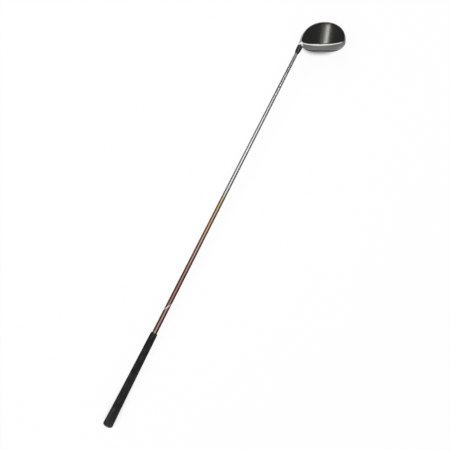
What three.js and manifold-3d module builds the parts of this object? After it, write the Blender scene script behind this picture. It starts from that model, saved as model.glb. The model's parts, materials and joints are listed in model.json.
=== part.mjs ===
// An adjustable golf driver lying on its tail and its butt cap, face up. Millimetres, +Z up.
// Head frame: origin where the shaft axis meets the ground at address, +X to the toe, +Y to the target, +Z up.
// Axis frame: the same origin, +Z up along the shaft.
import * as THREE from "three";
import { mergeVertices } from "three/addons/utils/BufferGeometryUtils.js";
import Module from "manifold-3d";

const wasm = await Module();
wasm.setup();

// Club
const CLUB_LENGTH = 1162;
const LIE = THREE.MathUtils.degToRad(58);
const LOFT = THREE.MathUtils.degToRad(10.5);
const FIT_GAP = 0.25;
const GLUE_GAP = 0.15;
const OVERRUN = 5;
const SHORTEST_EDGE = 0.004;

// Head outline. Toe and heel reach are measured from the shaft axis at the ground, depth back from the face.
const HEAD_DEPTH = 112;
const FACE_LEAD = 22.5;
const BULGE_RADIUS = 305;
const ROLL_RADIUS = 300;
const FACE_MIDDLE_X = 28;
const FACE_MIDDLE_Z = 29;
const FRONT_TOE_REACH = 78;
const GIRTH_TOE_REACH = 84;
const FRONT_HEEL_REACH = 30;
const GIRTH_HEEL_REACH = 29.5;
const FRONT_TOP = 58.2;
const CROWN_TOP = 62.2;
const CROWN_TOE_LIFT = 7.5;
const CROWN_LIFT_START = 0.25;
const FRONT_BOTTOM = 4.8;
const TAIL_X = 28;
const TAIL_Z = 22;
const SECTION_X = 22;
const TOE_GIRTH_DEPTH = 24;
const HEEL_GIRTH_DEPTH = 36;
const CROWN_TOP_DEPTH = 42;
const SOLE_BOTTOM_DEPTH = 22;
const TOP_EDGE = 3.2;
const SIDE_EDGE = 1.2;
const TAIL_FLAT = 5;

// How full the outline's curves are
const TOE_FULLNESS = [2.5, 2.3];
const HEEL_FULLNESS = [2.1, 2.0];
const CROWN_FULLNESS = [2.3, 1.9];
const SOLE_FULLNESS = [2.3, 1.8];
const FRONT_POWERS = { toeTop: 4.4, heelTop: 1.9, toeBottom: 2.12, heelBottom: 2.02 };
const REAR_POWERS = { toeTop: 2.7, heelTop: 2.45, toeBottom: 2.15, heelBottom: 2.35 };
const FRONT_GIRTH_SHARE = 0.74;
const REAR_GIRTH_SHARE = 0.42;
const SECTION_BLEND_SHARE = 0.75;

// Mesh density
const RING_SIDES = 56;
const FACE_RINGS = 3;
const EDGE_RINGS = 3;
const BODY_RINGS = 13;
const PANEL_SIDES = 40;
const SLOT_SIDES = 20;
const TURNED_SIDES = 24;

// Shell and panels
const PANEL_THICKNESS = 1.2;
const LEDGE_THICKNESS = 1.15;
const LEDGE_WIDTH = 6;
const FACE_THICKNESS = 3;
const FACE_MARGIN = 0.3;
const HOSEL_FACE_WALL = 0.3;
const SHELL_WALL = PANEL_THICKNESS + FIT_GAP + LEDGE_THICKNESS;

// Crown panel outline: where its front edge lies, how far it stays inside the head's own outline
const CROWN_PANEL_FRONT = 38;
const CROWN_PANEL_BOW = 6;
const CROWN_PANEL_MARGIN = 9;
const CROWN_PANEL_POWER = 2.2;

// Sole: flex slot, keel between two panels, swing weight
const SLOT_DEPTH = 17;
const SLOT_LENGTH = 52;
const SLOT_WIDTH = 5.5;
const SLOT_X = 36;
const SLOT_POWER = 6;
const SOLE_PANEL_FRONT = 27;
const SOLE_PANEL_REAR = 92;
const SOLE_PANEL_WIDEST_SHARE = 0.36;
const KEEL_WIDTH = 24;
const TOE_PANEL_REACH = 42;
const HEEL_PANEL_REACH = 24;
const SOLE_PANEL_INNER_SHARE = 0.33;
const SOLE_PANEL_POWER = 2.6;
const FRONT_WEIGHT_RADIUS = 6;
const FRONT_WEIGHT_HEIGHT = 5;
const FRONT_WEIGHT_DEPTH = 31;
const WEIGHT_BOSS_WALL = 2;

// Rear weight and its screw
const REAR_WEIGHT_RADIUS = 6.8;
const REAR_WEIGHT_LENGTH = 11;
const WEIGHT_RECESS = 0.4;
const SCREW_HEAD_RADIUS = 3.4;
const SCREW_HEAD_LENGTH = 3;
const SCREW_SHANK_RADIUS = 2;
const SCREW_THREAD_LENGTH = 7;
const SOCKET_SIDES = 6;
const SOCKET_SHARE = 0.55;
const SOCKET_DEPTH_SHARE = 0.6;

// Hosel, sleeve and bolt, measured along the shaft axis from the ground
const HOSEL_TOP = 62;
const HOSEL_WALL = 1.1;
const HOSEL_FLARE = 1.3;
const HOSEL_FLARE_TOP = 59;
const HOSEL_FLARE_LENGTH = 24;
const FLARE_STEPS = 6;
const BOLT_SHELF = 22;
const SHELF_THICKNESS = 3.5;
const BOLT_RECESS_RADIUS = 5.2;
const BOLT_HEAD_RADIUS = 3.8;
const BOLT_HEAD_LENGTH = 5;
const BOLT_SHANK_RADIUS = 2.4;
const WASHER_THICKNESS = 0.8;
const RETAINER_THICKNESS = 1.8;
const SLEEVE_WALL = 1;
const SLEEVE_THREAD_LENGTH = 11;
const SLEEVE_FLOOR = 1.4;
const SLEEVE_COLLAR_LENGTH = 9;
const SPLINE_COUNT = 12;
const SPLINE_LENGTH = 7;
const SPLINE_HEIGHT = 0.6;
const SPLINE_FLANK_SHARES = [[0.12, 0.28], [0.56, 0.72]];
const FERRULE_LENGTH = 12;
const FERRULE_WALL = 0.5;
// Ferrule taper: share drawn in towards the bore, share of its length
const FERRULE_TAPER_SHARES = [[0.12, 0.3], [0.5, 0.7]];

// Shaft and what sits in its tip
const SHAFT_TIP_RADIUS = 4.25;
const SHAFT_TIP_STRAIGHT = 75;
const SHAFT_BUTT_RADIUS = 7.6;
const SHAFT_TIP_WALL = 1.6;
const SHAFT_BUTT_WALL = 0.9;
const SHAFT_STATIONS = 6;
const TIP_WEIGHT_LENGTH = 12;
const CORK_LENGTH = 7;

// Grip
const GRIP_LENGTH = 275;
const GRIP_CAP_RADIUS = 13.6;
const GRIP_CAP_LENGTH = 6;
const GRIP_CAP_EDGE = 2;
const GRIP_BUTT_RADIUS = 12.9;
const GRIP_HAND_RADIUS = 12;
const GRIP_HAND_SHARE = 0.2;
const GRIP_MOUTH_RADIUS = 9.4;
const TAPE_THICKNESS = 0.25;
const TAPE_MARGIN = 4;
const VENT_RADIUS = 1.4;

// Lengths that follow from the sizes above
const sleeveRadius = SHAFT_TIP_RADIUS + GLUE_GAP + SLEEVE_WALL;
const hoselBoreRadius = sleeveRadius + FIT_GAP;
const hoselRadius = hoselBoreRadius + HOSEL_WALL;
const shelfTop = BOLT_SHELF + SHELF_THICKNESS;
const retainerTop = shelfTop + FIT_GAP + RETAINER_THICKNESS;
const sleeveBottom = retainerTop + FIT_GAP;
const shaftTip = sleeveBottom + SLEEVE_THREAD_LENGTH + SLEEVE_FLOOR + FIT_GAP;
const collarBottom = HOSEL_TOP + FIT_GAP;
const collarTop = collarBottom + SLEEVE_COLLAR_LENGTH;
const ferruleBottom = collarTop + FIT_GAP;
const ferruleTop = ferruleBottom + FERRULE_LENGTH;
const capBottom = CLUB_LENGTH - GRIP_CAP_LENGTH;
const gripTop = capBottom - FIT_GAP;
const gripMouth = CLUB_LENGTH - GRIP_LENGTH;
const tapeBottom = gripMouth + TAPE_MARGIN;
const shaftButt = gripTop;

// A closed geometry as a solid, turned the right way out.
function solid(geometry) {
  const bare = geometry.clone();
  bare.deleteAttribute("normal");
  bare.deleteAttribute("uv");
  const merged = mergeVertices(bare, 1e-4);
  const kept = [];
  const index = merged.index.array;
  for (let i = 0; i < index.length; i += 3) {
    const [a, b, c] = [index[i], index[i + 1], index[i + 2]];
    if (a !== b && b !== c && c !== a) kept.push(a, b, c);
  }
  const vertProperties = new Float32Array(merged.attributes.position.array);
  const make = (triVerts) =>
    new wasm.Manifold(new wasm.Mesh({ numProp: 3, vertProperties, triVerts }));
  const made = make(new Uint32Array(kept));
  if (made.volume() > 0) return made;
  for (let i = 0; i < kept.length; i += 3) [kept[i + 1], kept[i + 2]] = [kept[i + 2], kept[i + 1]];
  return make(new Uint32Array(kept));
}

// A solid as a geometry, without edges too short for single precision.
function surfaceOf(body) {
  const mesh = body.simplify(SHORTEST_EDGE).getMesh();
  const geometry = new THREE.BufferGeometry();
  geometry.setAttribute("position", new THREE.BufferAttribute(mesh.vertProperties, 3));
  geometry.setIndex(new THREE.BufferAttribute(mesh.triVerts, 1));
  const flat = geometry.toNonIndexed();
  flat.computeVertexNormals();
  return flat;
}

// A turned solid about +Z from a list of [radius, height] that starts and ends on the axis, or closes.
function turned(profile, sides = TURNED_SIDES) {
  const points = profile.map(([radius, height]) => new THREE.Vector2(radius, height));
  const geometry = new THREE.LatheGeometry(points, sides);
  geometry.rotateX(Math.PI / 2);
  return solid(geometry);
}

// A turned ring between two radii and two heights.
function ring(inner, outer, bottom, top, sides = TURNED_SIDES) {
  return turned(
    [[inner, bottom], [outer, bottom], [outer, top], [inner, top], [inner, bottom]],
    sides,
  );
}

// A turned disc or rod on the axis.
function rod(radius, bottom, top, sides = TURNED_SIDES) {
  return turned([[0, bottom], [radius, bottom], [radius, top], [0, top]], sides);
}

// A prism of a plan outline between two heights.
function prism(outline, bottom, top) {
  const shape = new THREE.Shape(outline.map(([x, y]) => new THREE.Vector2(x, y)));
  const geometry = new THREE.ExtrudeGeometry(shape, { depth: top - bottom, bevelEnabled: false });
  geometry.translate(0, 0, bottom);
  return solid(geometry);
}

// A regular polygon with a flat-to-flat radius.
function polygon(radius, corners) {
  return Array.from({ length: corners }, (_, i) => {
    const angle = (2 * Math.PI * i) / corners;
    return [radius * Math.cos(angle), radius * Math.sin(angle)];
  });
}

// A closed outline of four superellipse quarters about a middle.
function egg({ x, y, right, left, front, rear, power, sides = PANEL_SIDES }) {
  return Array.from({ length: sides }, (_, i) => {
    const angle = (2 * Math.PI * (i + 0.5)) / sides;
    const [c, s] = [Math.cos(angle), Math.sin(angle)];
    const reach = (Math.abs(c) ** power + Math.abs(s) ** power) ** (-1 / power);
    return [x + reach * c * (c > 0 ? right : left), y + reach * s * (s > 0 ? front : rear)];
  });
}

// Moves a solid from its own axis frame to a place in the head frame.
function placed(body, matrix) {
  return body.transform(matrix.elements);
}

// One side of the head along its depth: from the front edge to its fullest, then in to the tail.
function sideCurve(depth, girthDepth, end, front, girth, tail, [bow, roundness]) {
  if (depth < girthDepth) {
    return girth - (girth - front) * ((girthDepth - depth) / girthDepth) ** 2;
  }
  const along = Math.min((depth - girthDepth) / (end - girthDepth), 1);
  return tail + (girth - tail) * (1 - along ** bow) ** (1 / roundness);
}

const mix = (a, b, share) => a + (b - a) * share;

// The head's section at a depth behind the face, pulled in by an inset.
function headSection(depth, inset) {
  const end = HEAD_DEPTH - inset;
  const along = depth / HEAD_DEPTH;
  const blend = Math.min(along / SECTION_BLEND_SHARE, 1);
  const eased = blend * blend * (3 - 2 * blend);
  const toe = sideCurve(
    depth, TOE_GIRTH_DEPTH, end, FRONT_TOE_REACH - inset, GIRTH_TOE_REACH - inset, TAIL_X, TOE_FULLNESS,
  );
  const heel = sideCurve(
    depth, HEEL_GIRTH_DEPTH, end, inset - FRONT_HEEL_REACH, inset - GIRTH_HEEL_REACH, TAIL_X, HEEL_FULLNESS,
  );
  const top = sideCurve(
    depth, CROWN_TOP_DEPTH, end, FRONT_TOP - inset, CROWN_TOP - inset, TAIL_Z, CROWN_FULLNESS,
  );
  const bottom = sideCurve(
    depth, SOLE_BOTTOM_DEPTH, end, FRONT_BOTTOM + inset, inset, TAIL_Z, SOLE_FULLNESS,
  );
  const powers = {};
  for (const key of Object.keys(FRONT_POWERS)) {
    powers[key] = mix(FRONT_POWERS[key], REAR_POWERS[key], eased);
  }
  return {
    toe, heel, top, bottom, powers,
    x: mix(SECTION_X, TAIL_X, along),
    z: mix(bottom, top, mix(FRONT_GIRTH_SHARE, REAR_GIRTH_SHARE, eased)),
    lift: CROWN_TOE_LIFT * 4 * along * (1 - along),
  };
}

// A point of a section at an angle, drawn in by a share of the face's rounded edge and evenly by a margin.
function sectionPoint(section, angle, edgeShare, margin = 0) {
  const [c, s] = [Math.cos(angle), Math.sin(angle)];
  const side = c > 0 ? "toe" : "heel";
  const power = section.powers[side + (s > 0 ? "Top" : "Bottom")];
  const reach = (Math.abs(c) ** power + Math.abs(s) ** power) ** (-1 / power);
  const across = c > 0 ? section.toe - section.x : section.x - section.heel;
  // The crown rises towards the toe
  const outward = Math.min(Math.max(mix(CROWN_LIFT_START, 1, reach * c), 0), 1);
  const top = section.top + section.lift * outward * outward * (3 - 2 * outward);
  const up = s > 0 ? top - section.z : section.z - section.bottom;
  const drop = edgeShare * (s > 0 ? TOP_EDGE : SIDE_EDGE) + margin;
  return [
    section.x + reach * c * (across - edgeShare * SIDE_EDGE - margin),
    section.z + reach * s * (up - drop),
  ];
}

// How far the face lies behind the leading edge at a place: loft, bulge and roll.
function faceSetback(x, z) {
  const bulge = (x - FACE_MIDDLE_X) ** 2 / (2 * BULGE_RADIUS);
  const roll = (z - FACE_MIDDLE_Z) ** 2 / (2 * ROLL_RADIUS);
  return Math.tan(LOFT) * z + bulge + roll;
}

// The head's outer form, or a smaller one inside it, as rings from the middle of the face to the tail.
function headRings(inset) {
  const end = HEAD_DEPTH - inset;
  const angles = Array.from({ length: RING_SIDES }, (_, i) => (2 * Math.PI * (i + 0.5)) / RING_SIDES);
  const rings = [];
  const front = headSection(inset, inset);
  const middle = [front.x, (front.top + front.bottom) / 2];
  for (let k = 0; k < FACE_RINGS; k += 1) {
    const share = k / FACE_RINGS;
    const points = angles.map((angle) => {
      const [x, z] = sectionPoint(front, angle, 1);
      return [mix(middle[0], x, share), mix(middle[1], z, share)];
    });
    rings.push(
      (k === 0 ? points.slice(0, 1) : points).map(
        ([x, z]) => new THREE.Vector3(x, FACE_LEAD - inset - faceSetback(x, z), z),
      ),
    );
  }
  const depths = [];
  for (let k = 0; k <= EDGE_RINGS; k += 1) {
    const turn = (Math.PI / 2) * (k / EDGE_RINGS);
    depths.push([inset + TOP_EDGE * (1 - Math.cos(turn)), 1 - Math.sin(turn)]);
  }
  const start = inset + TOP_EDGE;
  for (let k = 1; k <= BODY_RINGS; k += 1) {
    depths.push([start + (end - start) * Math.sin((Math.PI / 2) * (k / BODY_RINGS)), 0]);
  }
  for (const [depth, edgeShare] of depths) {
    const section = headSection(depth, inset);
    const along = (depth - inset) / (end - inset);
    const points = angles.map((angle) => {
      const [x, z] = sectionPoint(section, angle, edgeShare);
      return new THREE.Vector3(x, FACE_LEAD - depth - faceSetback(x, z) * (1 - along ** 2), z);
    });
    rings.push(along < 1 ? points : points.slice(0, 1));
  }
  return rings;
}

// A closed skin over rings, of which the first and the last are single points.
function skin(rings) {
  const positions = [];
  const push = (...points) => points.forEach((p) => positions.push(p.x, p.y, p.z));
  for (let k = 1; k < rings.length; k += 1) {
    const [before, after] = [rings[k - 1], rings[k]];
    for (let i = 0; i < RING_SIDES; i += 1) {
      const j = (i + 1) % RING_SIDES;
      if (before.length === 1) push(before[0], after[j], after[i]);
      else if (after.length === 1) push(before[i], before[j], after[0]);
      else push(before[i], before[j], after[j], before[i], after[j], after[i]);
    }
  }
  const geometry = new THREE.BufferGeometry();
  geometry.setAttribute("position", new THREE.Float32BufferAttribute(positions, 3));
  return solid(geometry);
}

const headForm = (inset) => skin(headRings(inset));

// The lying pose: tilted until the butt cap's rim and the tail's flat both touch the floor.
const axisUp = new THREE.Vector3(-Math.cos(LIE), 0, Math.sin(LIE));
const target = new THREE.Vector3(0, 1, 0);
const headOutline = headRings(0).flat();
const floorUp = (tilt) =>
  target.clone().multiplyScalar(Math.cos(tilt)).addScaledVector(axisUp, -Math.sin(tilt));
const tailReach = (tilt) => {
  const up = floorUp(tilt);
  return Math.max(...headOutline.map((point) => -point.dot(up))) - TAIL_FLAT;
};
const capReach = (tilt) =>
  Math.max(
    GRIP_CAP_RADIUS * Math.cos(tilt) + (CLUB_LENGTH - GRIP_CAP_EDGE) * Math.sin(tilt),
    (GRIP_CAP_RADIUS - GRIP_CAP_EDGE) * Math.cos(tilt) + CLUB_LENGTH * Math.sin(tilt),
  );
let [flatter, steeper] = [0, LIE / 2];
while (steeper - flatter > 1e-7) {
  const tilt = (flatter + steeper) / 2;
  if (capReach(tilt) < tailReach(tilt)) flatter = tilt;
  else steeper = tilt;
}
const restTilt = (flatter + steeper) / 2;
const restUp = floorUp(restTilt);
const restAhead = new THREE.Vector3().crossVectors(
  new THREE.Vector3().crossVectors(restUp, axisUp.clone().negate()), restUp,
).normalize();
const restSide = new THREE.Vector3().crossVectors(restUp, restAhead);

// Frames inside the head
const axisFrame = new THREE.Matrix4().makeRotationY(LIE - Math.PI / 2);
const beyondTail = new THREE.Box3().setFromPoints(
  headOutline.filter((point) => -point.dot(restUp) > tailReach(restTilt)),
).getCenter(new THREE.Vector3());
const tailFace = beyondTail.addScaledVector(restUp, -tailReach(restTilt) - beyondTail.dot(restUp));
const tailFrame = new THREE.Matrix4().makeBasis(restAhead, restSide.clone().negate(), restUp.clone().negate());
tailFrame.setPosition(tailFace);

// A socket for a driver bit, cut down from a height.
function socket(radius, depth, top) {
  return prism(polygon(radius, SOCKET_SIDES), top - depth, top + OVERRUN);
}

// Outline of the splines on the sleeve, or of the seat they drop into, widened all round by a clearance.
function splineOutline(clearance) {
  const pitch = (2 * Math.PI * sleeveRadius) / SPLINE_COUNT;
  const widened = clearance / pitch;
  const root = sleeveRadius - SPLINE_HEIGHT + clearance;
  const tip = sleeveRadius + clearance;
  const [rise, fall] = SPLINE_FLANK_SHARES;
  const corners = [
    [rise[0] - widened, root], [rise[1] - widened, tip], [fall[0] + widened, tip], [fall[1] + widened, root],
  ];
  return Array.from({ length: SPLINE_COUNT }, (_, i) =>
    corners.map(([share, radius]) => {
      const angle = (2 * Math.PI * (i + share)) / SPLINE_COUNT;
      return [radius * Math.cos(angle), radius * Math.sin(angle)];
    }),
  ).flat();
}

// All the room past a plane across the tail.
function pastTail(height) {
  const block = rod(2 * HEAD_DEPTH, height, 2 * HEAD_DEPTH);
  return placed(block, tailFrame);
}

// Plan outline of the crown panel, drawn in by an amount.
function crownOutline(drawnIn) {
  const section = headSection(CROWN_PANEL_FRONT, 0);
  return egg({
    x: TAIL_X,
    y: FACE_LEAD - CROWN_PANEL_FRONT,
    right: section.toe - TAIL_X - CROWN_PANEL_MARGIN - drawnIn,
    left: TAIL_X - section.heel - CROWN_PANEL_MARGIN - drawnIn,
    front: CROWN_PANEL_BOW - drawnIn,
    rear: HEAD_DEPTH - CROWN_PANEL_FRONT - CROWN_PANEL_MARGIN - TAIL_FLAT - drawnIn,
    power: CROWN_PANEL_POWER,
  });
}

// Plan outline of a sole panel on the toe (+1) or heel (-1) side of the keel.
function solePanelOutline(side, drawnIn) {
  const length = SOLE_PANEL_REAR - SOLE_PANEL_FRONT;
  const widest = SOLE_PANEL_FRONT + length * SOLE_PANEL_WIDEST_SHARE;
  const reach = side > 0 ? TOE_PANEL_REACH : HEEL_PANEL_REACH;
  const inner = reach * SOLE_PANEL_INNER_SHARE;
  const middle = TAIL_X + side * (KEEL_WIDTH / 2 + inner);
  const outward = reach - inner - drawnIn;
  const inward = inner - drawnIn;
  return egg({
    x: middle,
    y: FACE_LEAD - widest,
    right: side > 0 ? outward : inward,
    left: side > 0 ? inward : outward,
    front: widest - SOLE_PANEL_FRONT - drawnIn,
    rear: SOLE_PANEL_REAR - widest - drawnIn,
    power: SOLE_PANEL_POWER,
  });
}

function slotOutline(drawnIn) {
  return egg({
    x: SLOT_X,
    y: FACE_LEAD - SLOT_DEPTH,
    right: SLOT_LENGTH / 2 - drawnIn,
    left: SLOT_LENGTH / 2 - drawnIn,
    front: SLOT_WIDTH / 2 - drawnIn,
    rear: SLOT_WIDTH / 2 - drawnIn,
    power: SLOT_POWER,
    sides: SLOT_SIDES,
  });
}

// The hosel's outside, grown by an amount. It swells a little where it leaves the crown.
function hoselForm(grown) {
  const radius = hoselRadius + grown;
  const swell = Array.from({ length: FLARE_STEPS + 1 }, (_, i) => [
    radius + (HOSEL_FLARE * (1 - Math.cos((2 * Math.PI * i) / FLARE_STEPS))) / 2,
    HOSEL_FLARE_TOP - HOSEL_FLARE_LENGTH * (1 - i / FLARE_STEPS),
  ]);
  const bottom = shelfTop - SHELF_THICKNESS / 2;
  const top = HOSEL_TOP + grown;
  return placed(turned([[0, bottom], [radius, bottom], ...swell, [radius, top], [0, top]]), axisFrame);
}

// Outline of the face plate in X and Z, drawn in by an amount, as a prism through the front wall.
function facePrism(drawnIn) {
  const section = headSection(0, 0);
  const outline = Array.from({ length: RING_SIDES }, (_, i) =>
    sectionPoint(section, (2 * Math.PI * (i + 0.5)) / RING_SIDES, 1, FACE_MARGIN + drawnIn),
  );
  const back = FACE_LEAD - faceSetback(FRONT_TOE_REACH, FRONT_TOP) - 2 * FACE_THICKNESS;
  const turn = new THREE.Matrix4().makeRotationX(Math.PI / 2);
  const room = hoselForm(HOSEL_FACE_WALL + drawnIn);
  return placed(prism(outline, -FACE_LEAD - OVERRUN, -back), turn).subtract(room);
}

const upperPrism = (outline) => prism(outline, TAIL_Z, 2 * CROWN_TOP);
const lowerPrism = (outline) => prism(outline, -CROWN_TOP, TAIL_Z);
const shellForm = headForm(0);
const hollowForm = headForm(SHELL_WALL);
const underPanel = headForm(PANEL_THICKNESS);
const ledgeForm = headForm(PANEL_THICKNESS + FIT_GAP);

const frontWeightPlace = new THREE.Matrix4().makeTranslation(TAIL_X, FACE_LEAD - FRONT_WEIGHT_DEPTH, 0);
const weightSeat = WEIGHT_RECESS + FRONT_WEIGHT_HEIGHT + FIT_GAP;

function headBody() {
  // Left solid inside: bolt tube at the heel, rear weight port, seat of the swing weight
  const boltTube = placed(rod(BOLT_RECESS_RADIUS + HOSEL_WALL, -OVERRUN, shelfTop + OVERRUN), axisFrame);
  const tailBoss = placed(
    rod(REAR_WEIGHT_RADIUS + FIT_GAP + WEIGHT_BOSS_WALL, -REAR_WEIGHT_LENGTH - SCREW_THREAD_LENGTH, 0),
    tailFrame,
  );
  const weightBoss = placed(
    rod(FRONT_WEIGHT_RADIUS + FIT_GAP + WEIGHT_BOSS_WALL, -OVERRUN, weightSeat + WEIGHT_BOSS_WALL),
    frontWeightPlace,
  );
  let hollow = hollowForm;
  for (const boss of [hoselForm(0), boltTube, tailBoss, weightBoss, pastTail(-SHELL_WALL)]) {
    hollow = hollow.subtract(boss);
  }
  const [room] = hollow.decompose().sort((a, b) => b.volume() - a.volume());
  let body = shellForm.add(hoselForm(0)).subtract(room);
  // Ledges and windows for the panels
  const cuts = [
    upperPrism(crownOutline(0)).subtract(ledgeForm),
    upperPrism(crownOutline(LEDGE_WIDTH)),
    lowerPrism(slotOutline(0)),
    facePrism(0),
  ];
  for (const side of [1, -1]) {
    cuts.push(lowerPrism(solePanelOutline(side, 0)).subtract(ledgeForm));
    cuts.push(lowerPrism(solePanelOutline(side, LEDGE_WIDTH)));
  }
  // Bores along the shaft axis
  cuts.push(
    placed(rod(BOLT_RECESS_RADIUS, -HOSEL_TOP, BOLT_SHELF), axisFrame),
    placed(rod(BOLT_SHANK_RADIUS + FIT_GAP, -OVERRUN, HOSEL_TOP), axisFrame),
    placed(rod(hoselBoreRadius, sleeveBottom + SPLINE_LENGTH - FIT_GAP, HOSEL_TOP + OVERRUN), axisFrame),
    placed(prism(splineOutline(FIT_GAP), shelfTop, HOSEL_TOP + OVERRUN), axisFrame),
  );
  // Rear weight port, its screw hole, and the seat of the swing weight
  cuts.push(
    placed(rod(REAR_WEIGHT_RADIUS + FIT_GAP, -REAR_WEIGHT_LENGTH - FIT_GAP, OVERRUN), tailFrame),
    placed(
      rod(SCREW_SHANK_RADIUS + FIT_GAP, -REAR_WEIGHT_LENGTH - SCREW_THREAD_LENGTH - OVERRUN, 0),
      tailFrame,
    ),
    placed(rod(FRONT_WEIGHT_RADIUS + FIT_GAP, -OVERRUN, weightSeat), frontWeightPlace),
    pastTail(0),
  );
  for (const cut of cuts) body = body.subtract(cut);
  return body;
}

function facePlate() {
  const behind = shellForm.translate([0, -FACE_THICKNESS, 0]);
  return facePrism(FIT_GAP).intersect(shellForm).subtract(behind);
}

function crownPanel() {
  return upperPrism(crownOutline(FIT_GAP)).intersect(shellForm).subtract(underPanel);
}

function solePanel(side) {
  return lowerPrism(solePanelOutline(side, FIT_GAP)).intersect(shellForm).subtract(underPanel);
}

function slotInsert() {
  return lowerPrism(slotOutline(FIT_GAP)).intersect(shellForm).subtract(hollowForm);
}

function rearWeight() {
  const bottom = -REAR_WEIGHT_LENGTH;
  const top = -WEIGHT_RECESS;
  const slug = rod(REAR_WEIGHT_RADIUS, bottom, top);
  const counterbore = rod(SCREW_HEAD_RADIUS + FIT_GAP, top - SCREW_HEAD_LENGTH - FIT_GAP, top + OVERRUN);
  const hole = rod(SCREW_SHANK_RADIUS + FIT_GAP, bottom - OVERRUN, top);
  return slug.subtract(counterbore).subtract(hole);
}

function weightScrew() {
  const top = -WEIGHT_RECESS - FIT_GAP;
  const head = rod(SCREW_HEAD_RADIUS, top - SCREW_HEAD_LENGTH + FIT_GAP, top);
  const shank = rod(SCREW_SHANK_RADIUS, -REAR_WEIGHT_LENGTH - SCREW_THREAD_LENGTH + FIT_GAP, top - FIT_GAP);
  const bit = socket(SCREW_HEAD_RADIUS * SOCKET_SHARE, SCREW_HEAD_LENGTH * SOCKET_DEPTH_SHARE, top);
  return head.add(shank).subtract(bit);
}

function frontWeight() {
  const flip = new THREE.Matrix4().makeRotationX(Math.PI);
  const slug = rod(FRONT_WEIGHT_RADIUS, 0, FRONT_WEIGHT_HEIGHT);
  const bit = placed(
    socket(FRONT_WEIGHT_RADIUS * SOCKET_SHARE, FRONT_WEIGHT_HEIGHT * SOCKET_DEPTH_SHARE, 0), flip,
  );
  const lift = new THREE.Matrix4().makeTranslation(0, 0, WEIGHT_RECESS);
  return placed(slug.subtract(bit), lift);
}

function loftSleeve() {
  const shaftBore = SHAFT_TIP_RADIUS + GLUE_GAP;
  const body = turned([
    [0, sleeveBottom],
    [sleeveRadius, sleeveBottom],
    [sleeveRadius, collarBottom],
    [hoselRadius, collarBottom],
    [hoselRadius, collarTop],
    [0, collarTop],
  ]);
  const thread = rod(BOLT_SHANK_RADIUS + FIT_GAP, sleeveBottom - OVERRUN, sleeveBottom + SLEEVE_THREAD_LENGTH);
  const bore = rod(shaftBore, shaftTip - FIT_GAP, collarTop + OVERRUN);
  const notched = ring(sleeveRadius - SPLINE_HEIGHT, sleeveRadius + OVERRUN, sleeveBottom - OVERRUN,
    sleeveBottom + SPLINE_LENGTH)
    .subtract(prism(splineOutline(0), sleeveBottom - 2 * OVERRUN, sleeveBottom + 2 * SPLINE_LENGTH));
  return body.subtract(notched).subtract(thread).subtract(bore);
}

function ferrule() {
  const bore = SHAFT_TIP_RADIUS + GLUE_GAP;
  return turned([
    [bore, ferruleBottom],
    [hoselRadius, ferruleBottom],
    ...FERRULE_TAPER_SHARES.map(([inward, along]) => [
      mix(hoselRadius, bore, inward), mix(ferruleBottom, ferruleTop, along),
    ]),
    [bore + FERRULE_WALL, ferruleTop],
    [bore, ferruleTop],
    [bore, ferruleBottom],
  ]);
}

function sleeveBolt() {
  const headTop = BOLT_SHELF - FIT_GAP - WASHER_THICKNESS - FIT_GAP;
  const head = rod(BOLT_HEAD_RADIUS, headTop - BOLT_HEAD_LENGTH, headTop);
  const shank = rod(BOLT_SHANK_RADIUS, headTop - FIT_GAP, sleeveBottom + SLEEVE_THREAD_LENGTH - FIT_GAP);
  const bit = placed(
    socket(BOLT_HEAD_RADIUS * SOCKET_SHARE, BOLT_HEAD_LENGTH * SOCKET_DEPTH_SHARE, BOLT_HEAD_LENGTH - headTop),
    new THREE.Matrix4().makeRotationX(Math.PI),
  );
  return head.add(shank).subtract(bit);
}

function boltWasher() {
  const top = BOLT_SHELF - FIT_GAP;
  return ring(BOLT_SHANK_RADIUS + FIT_GAP, BOLT_RECESS_RADIUS - FIT_GAP, top - WASHER_THICKNESS, top);
}

function boltRetainer() {
  const bottom = shelfTop + FIT_GAP;
  const outer = sleeveRadius - SPLINE_HEIGHT;
  return ring(BOLT_SHANK_RADIUS + FIT_GAP, outer, bottom, bottom + RETAINER_THICKNESS);
}

// The shaft's outer radius, or with its wall taken off its bore, at a place along the axis.
function shaftRadius(height) {
  const tipEnd = shaftTip + SHAFT_TIP_STRAIGHT;
  const share = Math.max(0, (height - tipEnd) / (shaftButt - tipEnd));
  return mix(SHAFT_TIP_RADIUS, SHAFT_BUTT_RADIUS, share);
}

function shaftBore(height) {
  const share = (height - shaftTip) / (shaftButt - shaftTip);
  return shaftRadius(height) - mix(SHAFT_TIP_WALL, SHAFT_BUTT_WALL, share);
}

// Heights from one end to the other, in equal steps.
const stations = (from, to, steps) => Array.from({ length: steps + 1 }, (_, i) => mix(from, to, i / steps));

function shaft() {
  const heights = [shaftTip, ...stations(shaftTip + SHAFT_TIP_STRAIGHT, shaftButt, SHAFT_STATIONS)];
  const outside = heights.map((height) => [shaftRadius(height), height]);
  const inside = heights.map((height) => [shaftBore(height), height]).reverse();
  return turned([...outside, ...inside, outside[0]]);
}

function tipWeight() {
  const bottom = shaftTip + FIT_GAP;
  return rod(shaftBore(shaftTip) - FIT_GAP, bottom, bottom + TIP_WEIGHT_LENGTH);
}

function shaftCork() {
  const bottom = shaftTip + TIP_WEIGHT_LENGTH + 2 * FIT_GAP;
  return rod(shaftBore(shaftTip) - FIT_GAP, bottom, bottom + CORK_LENGTH);
}

const tapeInner = (height) => shaftRadius(height) + GLUE_GAP;
const tapeOuter = (height) => tapeInner(height) + TAPE_THICKNESS;
const gripBore = (height) => tapeOuter(height) + GLUE_GAP;

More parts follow.
